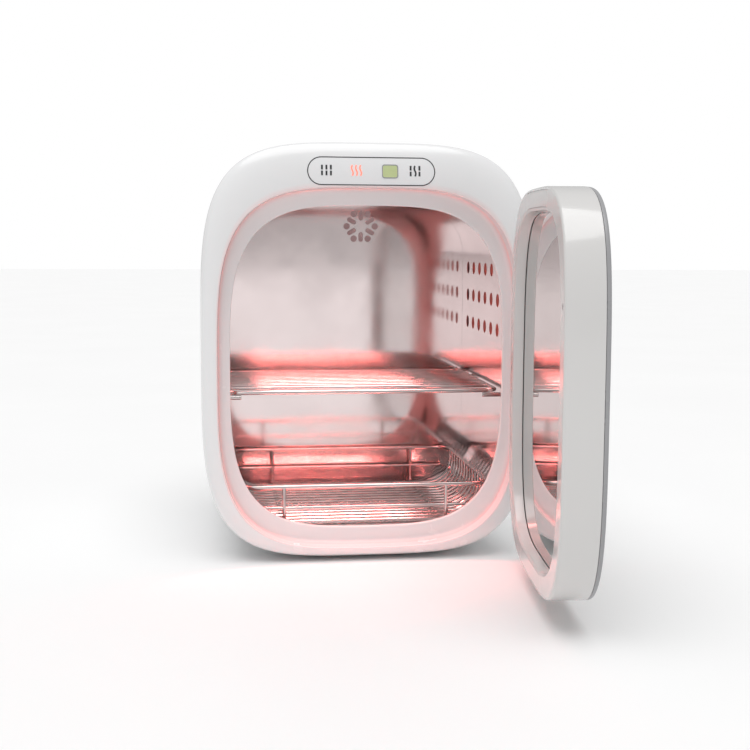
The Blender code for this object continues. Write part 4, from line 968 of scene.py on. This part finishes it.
def make_pegs():
    """Shelf pegs with a flange at the wall and a rounded end."""
    flange_radius, flange_width, peg_radius = 4.6, 1.2, 2.2
    for end in ("front", "rear"):
        for side, sign in (("left", -1), ("right", 1)):
            node = "shelf_peg_%s_%s" % (end, side)
            low, high = local_box(node)
            _, y, z = middle(low, high)
            wall = max(abs(low.x), abs(high.x))
            tip = min(abs(low.x), abs(high.x))
            profile = rounded([
                (flange_radius, wall, 0), (flange_radius, wall - flange_width, 0.4),
                (peg_radius, wall - flange_width, 0.6), (peg_radius, tip, 1.0), (0.6, tip, 0),
            ], steps=5)
            loops = []
            for radius, x in profile:
                loops.append([(sign * x, u, v) for u, v in circle(radius, (y, z), 24)])
            lofted("peg_%s_%s" % (end, side), loops, WIRE, "cabinet", [node])


def make_shelf():
    """Wire shelf: frame, two front rails a collar apart, cross wires and stiffeners."""
    low, high = local_box("wire_shelf")
    half_width = (high.x - low.x) / 2 - SHELF_WIRE
    front, rear = low.y + SHELF_WIRE, high.y - SHELF_WIRE
    z = high.z - SHELF_WIRE
    centre = (0.0, (front + rear) / 2)
    mesh_data = bmesh.new()
    frame_line = round_rectangle(half_width, (rear - front) / 2, SHELF_CORNER, centre, 8)
    add_tube(mesh_data, at_height(frame_line, z), SHELF_WIRE, (0, 0, 1), 14, closed=True)
    second = front + SHELF_RAIL_GAP
    add_rod(mesh_data, (-half_width, second, z), (half_width, second, z), SHELF_RAIL, 14)
    wire_z = z + CROSS_WIRE_RISE
    for wire in range(1, SHELF_CROSS_WIRES + 1):
        y = second + wire * SHELF_PITCH
        add_rod(mesh_data, (-half_width, y, wire_z), (half_width, y, wire_z), CROSS_WIRE, 12)
    bar_z = z - STIFFENER_DROP
    for x in STIFFENER_XS:
        add_rod(mesh_data, (x, second - 1, bar_z), (x, rear, bar_z), STIFFENER, 12)
    piece("shelf_wires", mesh_data, WIRE, "shelf", ["wire_shelf"])


def make_basket():
    """Wire basket: rim, bent cross wires, lengthwise runners with posts, low end rails."""
    panels = ["basket_floor", "basket_side_left", "basket_side_right", "basket_end_front", "basket_end_rear"]
    boxes = [local_box(node) for node in panels]
    half_width = max(high.x for low, high in boxes) - RIM_WIRE
    front = min(low.y for low, high in boxes) + RIM_WIRE
    rear = max(high.y for low, high in boxes) - RIM_WIRE
    rim_z = max(high.z for low, high in boxes) - RIM_WIRE
    floor_z = boxes[0][0].z + POST_WIRE * math.cos(math.pi / 4) + RUNNER_DROP
    centre_y = (front + rear) / 2
    mesh_data = bmesh.new()
    rim = round_rectangle(half_width, (rear - front) / 2, BASKET_CORNER, (0.0, centre_y), 8)
    add_tube(mesh_data, at_height(rim, rim_z), RIM_WIRE, (0, 0, 1), 14, closed=True)
    first = centre_y - BASKET_PITCH * (BASKET_WIRES - 1) / 2
    section = [(half_width, rim_z)]
    bend_steps = 10
    for step in range(bend_steps + 1):
        angle = -math.pi / 2 * step / bend_steps
        section.append((half_width - BASKET_BEND + BASKET_BEND * math.cos(angle),
                        floor_z + BASKET_BEND + BASKET_BEND * math.sin(angle)))
    section += [(-x, z) for x, z in reversed(section)]
    for wire in range(BASKET_WIRES):
        add_tube(mesh_data, at_depth(section, first + wire * BASKET_PITCH), BASKET_WIRE, (0, 1, 0), 10)
    low_z = floor_z - RUNNER_DROP
    for x in (-POST_X, POST_X):
        path = rounded([(front, rim_z, 0), (front, low_z, RUNNER_BEND),
                        (rear, low_z, RUNNER_BEND), (rear, rim_z, 0)], steps=6)
        add_tube(mesh_data, [(x, y, z) for y, z in path], POST_WIRE, (1, 0, 0), 12)
    rail_bend = 6.0
    for y, inward in ((front, 1), (rear, -1)):
        last = y + inward * (first - front)
        path = rounded([(-RAIL_WIRE_X, last, 0), (-RAIL_END_X, y, rail_bend),
                        (RAIL_END_X, y, rail_bend), (RAIL_WIRE_X, last, 0)], steps=4)
        add_tube(mesh_data, at_height(path, rim_z - RAIL_DROP), RAIL_WIRE, (0, 0, 1), 12)
    piece("basket_wires", mesh_data, WIRE, "basket", panels)


# ---------------------------------------------------------------- door

def door_profile(points):
    """Round a door section and turn it into loops."""
    return [at_depth(squircle(DOOR, inset), y) for inset, y in points]


def add_rim_insert(mesh_data, level, grow, start, end):
    """Segment of the door's rim between two radial seams, at the top or the bottom."""
    half_width, half_height, power, centre_z = DOOR
    reach = INSERT_ANGLE + grow / half_height
    loops = []
    for step in range(33):
        angle = level * (math.pi / 2) - reach + 2 * reach * step / 32
        corners = []
        outer, inner = INSERT_INSETS[0] - grow, INSERT_INSETS[1] + grow
        for inset, y in ((outer, start), (inner, start), (inner, end), (outer, end)):
            across = abs(math.cos(angle) / (half_width - inset)) ** power
            along = abs(math.sin(angle) / (half_height - inset)) ** power
            radius = (across + along) ** (-1 / power)
            corners.append((radius * math.cos(angle), y, centre_z + radius * math.sin(angle)))
        loops.append(corners)
    add_loft(mesh_data, loops)


def door_piece(name, mesh_data, surface, replaced):
    """A piece that is laid out closed and rides on the door."""
    return piece(name, mesh_data, surface, "door", replaced, DOOR_PLACE)


def door_loft(name, profile, surface, replaced, closed=False):
    """A door piece whose section is a list of (inset, y)."""
    return lofted(name, door_profile(profile), surface, "door", replaced, closed, DOOR_PLACE)


def make_door():
    """Deep door: moulding, rim inserts, spacer ring, two panes, outer cover and sensor spot."""
    skin = CASING_SKIN
    shell = rounded([
        (0.0, DOOR_COVER_Y, 0.5), (0.0, DOOR_BACK_Y, 2.6), (DOOR_RIM, DOOR_BACK_Y, 1.0),
        (DOOR_RIM + 2.0, DOOR_BACK_Y - 0.9, 1.0), (DOOR_RIM + 3.0, DOOR_STEP_Y, 0.4),
        (DOOR_RIM + 0.5, DOOR_STEP_Y, 0.2), (DOOR_RIM - 0.3, DOOR_BACK_Y - skin, 0.0),
        (skin, DOOR_BACK_Y - skin, 0.0), (skin, DOOR_COVER_Y, 0.2),
    ], closed=True, steps=6)
    door = door_loft("door_shell", shell, DOOR_WHITE_PAINTED_SHADE, ["door_frame"], closed=True)

    def pockets(data):
        for level in (1, -1):
            add_rim_insert(data, level, 0.35, DOOR_BACK_Y - 1.9, DOOR_BACK_Y + 2)

    carve(door, pockets, DOOR_PLACE)

    for level, word in ((1, "top"), (-1, "bottom")):
        mesh_data = bmesh.new()
        add_rim_insert(mesh_data, level, 0.0, DOOR_BACK_Y - 1.5, DOOR_BACK_Y)
        edges = [edge for edge in mesh_data.edges if edge.calc_face_angle(0.0) > 1.0]
        bmesh.ops.bevel(mesh_data, geom=edges, offset=0.2, segments=2, profile=0.5, affect="EDGES")
        door_piece("door_insert_" + word, mesh_data, DOOR_WHITE_PAINTED_SHADE, ["door_%s_insert" % word])

    ring_y = MIRROR_FRONT_Y - GAP
    inner = rounded([
        (DOOR_RIM + 3.0, ring_y, 0.5), (DOOR_RIM + 4.0, GLASS_Y + GAP, 0.5),
        (DOOR_RIM - 6.0, GLASS_Y + GAP, 0.0), (DOOR_RIM - 6.0, GLASS_Y + 2.8, 0.0),
        (DOOR_RIM + 0.8, GLASS_Y + 2.8, 0.0), (DOOR_RIM, ring_y, 0.0),
    ], closed=True, steps=4)
    door_loft("door_inner_ring", inner, INNER_WHITE, ["door_inner_bezel"], closed=True)

    glass_front = GLASS_Y - GLASS_THICKNESS
    centre_inset = 60.0
    panes = (("door_mirror_pane", "door_mirror", MIRROR_BACK_Y, MIRROR_FRONT_Y),
             ("door_outer_pane", "door_glass", GLASS_Y, glass_front))
    for name, node, back, front in panes:
        section = rounded([(centre_inset, back, 0), (PANE_INSET, back, 0.5),
                           (PANE_INSET, front, 0.5), (centre_inset, front, 0)], steps=3)
        even_normals(door_loft(name, section, PANE, [node]))

    cover = rounded([
        (0.15, DOOR_COVER_Y - GAP, 0.5), (0.5, DOOR_FRONT_Y + 0.2, 3.4), (13.5, DOOR_FRONT_Y + 0.2, 1.5),
        (22.0, glass_front - GAP, 0.5), (18.0, glass_front - GAP, 0.0), (13.0, DOOR_FRONT_Y + skin, 0.0),
        (2.8, DOOR_FRONT_Y + skin, 0.0), (2.8, DOOR_COVER_Y - GAP, 0.0),
    ], closed=True, steps=7)
    door_loft("door_cover_ring", cover, TRIM, ["door_outer_cover"], closed=True)

    mesh_data = bmesh.new()
    spot_y = DOOR_BACK_Y + 0.25
    profile = rounded([(1.0, spot_y, 0), (SENSOR_RADIUS, spot_y, 0.3),
                       (SENSOR_RADIUS, DOOR_BACK_Y - 1.2, 0)], steps=4)
    add_loft(mesh_data, [at_depth(circle(radius, (SENSOR_X, SENSOR_Z), 28), y) for radius, y in profile])
    door_piece("door_sensor_spot", mesh_data, NICKEL, ["door_sensor_magnet"])


# ---------------------------------------------------------------- carried-over CAD nodes

CARRIED = {
    "hinge_bracket_upper": ZINC, "hinge_bracket_lower": ZINC,
    "hinge_arm_upper": ZINC, "hinge_arm_lower": ZINC,
    "hinge_pin_upper": WIRE, "hinge_pin_lower": WIRE,
    "lamp_reflector": STEEL_PAINTED_PINK, "lamp_socket_left": DARK, "lamp_socket_right": DARK,
    "fan_housing": FAN_GREY_PAINTED_GLOW, "fan_motor": ZINC, "fan_impeller": FAN_GREY_PAINTED_GLOW, "air_duct": DUCT_RED_PAINTED_GLOW,
    "main_board": BOARD, "touch_board": BOARD, "lcd_module": DARK, "lamp_ballast": DARK,
    "ion_generator": DARK, "reed_switch": DARK, "catch_plate_top": ZINC, "catch_plate_bottom": ZINC,
    "door_magnet_top": NICKEL, "door_magnet_bottom": NICKEL,
}


def dress_carried_nodes():
    """Give each CAD node that stays its material, and soften its edges."""
    for node, surface in CARRIED.items():
        target = frame["nodes"][node]
        target.data.materials.clear()
        target.data.materials.append(surface)
        bevel = target.modifiers.new("soft_edges", "BEVEL")
        bevel.width = 0.25 * MM
        bevel.segments = 2
        bevel.limit_method = "ANGLE"
        bevel.angle_limit = math.radians(40)
        even_normals(target)


# ---------------------------------------------------------------- floor, light and camera

def make_stage():
    """Pale floor that meets a white surround."""
    nodes = Nodes("pale_floor")
    shade = nodes.spread(nodes.noise(3.0, 4.0), 0.0, 1.0)
    blend = nodes.mix_colours(shade, (0.905, 0.905, 0.905), (0.92, 0.92, 0.92))
    nodes.link(blend, nodes.shader.inputs["Base Color"])
    nodes.shader.inputs["Roughness"].default_value = 0.6
    size = 12.0
    mesh = bpy.data.meshes.new("floor")
    corners = [(-size, -size, 0), (size, -size, 0), (size, size, 0), (-size, size, 0)]
    mesh.from_pydata(corners, [], [(0, 1, 2, 3)])
    mesh.materials.append(nodes.material)
    floor = bpy.data.objects.new("floor", mesh)
    bpy.context.scene.collection.objects.link(floor)


def add_area_light(name, location, target, size, power, colour=(1.0, 1.0, 1.0)):
    """A soft square light that faces a point."""
    light = bpy.data.lights.new(name, "AREA")
    light.size = size
    light.energy = power
    light.color = colour
    result = bpy.data.objects.new(name, light)
    result.location = location
    result.rotation_mode = "QUATERNION"
    result.rotation_quaternion = (Vector(target) - Vector(location)).to_track_quat("-Z", "Y")
    bpy.context.scene.collection.objects.link(result)
    return result


def make_light():
    """White surround with a large soft light above."""
    scene = bpy.context.scene
    scene.world = bpy.data.worlds.new("surround")
    scene.world.use_nodes = True
    tree = scene.world.node_tree
    background = tree.nodes["Background"]
    background.inputs["Color"].default_value = (1.0, 1.0, 1.0, 1.0)
    path = tree.nodes.new("ShaderNodeLightPath")
    level = tree.nodes.new("ShaderNodeMapRange")
    level.inputs["To Min"].default_value = 0.52
    level.inputs["To Max"].default_value = 1.0
    tree.links.new(path.outputs["Is Camera Ray"], level.inputs["Value"])
    tree.links.new(level.outputs["Result"], background.inputs["Strength"])
    scene.view_settings.view_transform = "Standard"
    overhead = bpy.data.lights.new("overhead", "SUN")
    overhead.energy = 1.95
    overhead.angle = math.radians(55)
    lamp = bpy.data.objects.new("overhead", overhead)
    lamp.rotation_mode = "QUATERNION"
    lamp.rotation_quaternion = Vector((0.08, 0.26, -0.96)).to_track_quat("-Z", "Y")
    bpy.context.scene.collection.objects.link(lamp)
    ceiling = CABINET_PLACE @ Vector((0.0, 75.0, CEILING_Z - 4.0))
    below = ceiling - Vector((0, 0, 1))
    glow_width, glow_power, glow_colour = 0.19, 0.34, (1.0, 0.26, 0.24)
    glow = add_area_light("chamber_glow", ceiling, below, glow_width, glow_power, glow_colour)
    glow.data.shape = "RECTANGLE"
    glow.data.size_y = 0.05
    glow.data.spread = math.radians(85)


def make_camera():
    """Camera at the height and distance that the perspective gives, just left of the middle."""
    lens, sensor = 60.0, 36.0
    yaw, pitch, roll = math.radians(7.80), math.radians(6.19), math.radians(0.27)
    place = CABINET_PLACE @ Vector((-161.2, -1227.7, 127.2))
    data = bpy.data.cameras.new("camera")
    data.lens = lens
    data.sensor_width = sensor
    camera = bpy.data.objects.new("camera", data)
    forward = Vector((math.sin(yaw) * math.cos(pitch), math.cos(yaw) * math.cos(pitch), -math.sin(pitch)))
    right = Vector((math.cos(yaw), -math.sin(yaw), 0.0))
    up = right.cross(forward)
    tilted_right = math.cos(roll) * right + math.sin(roll) * up
    tilted_up = tilted_right.cross(forward)
    rotation = Matrix((tilted_right, tilted_up, -forward)).transposed()
    camera.matrix_world = Matrix.Translation(place) @ rotation.to_4x4()
    bpy.context.scene.collection.objects.link(camera)
    bpy.context.scene.camera = camera


make_bezel()
make_casing()
make_feet()
make_rear()
make_screws()
make_inlet()
make_panel()
make_chamber()
make_lamps()
make_pegs()
make_shelf()
make_basket()
make_door()
dress_carried_nodes()
make_stage()
make_light()
make_camera()
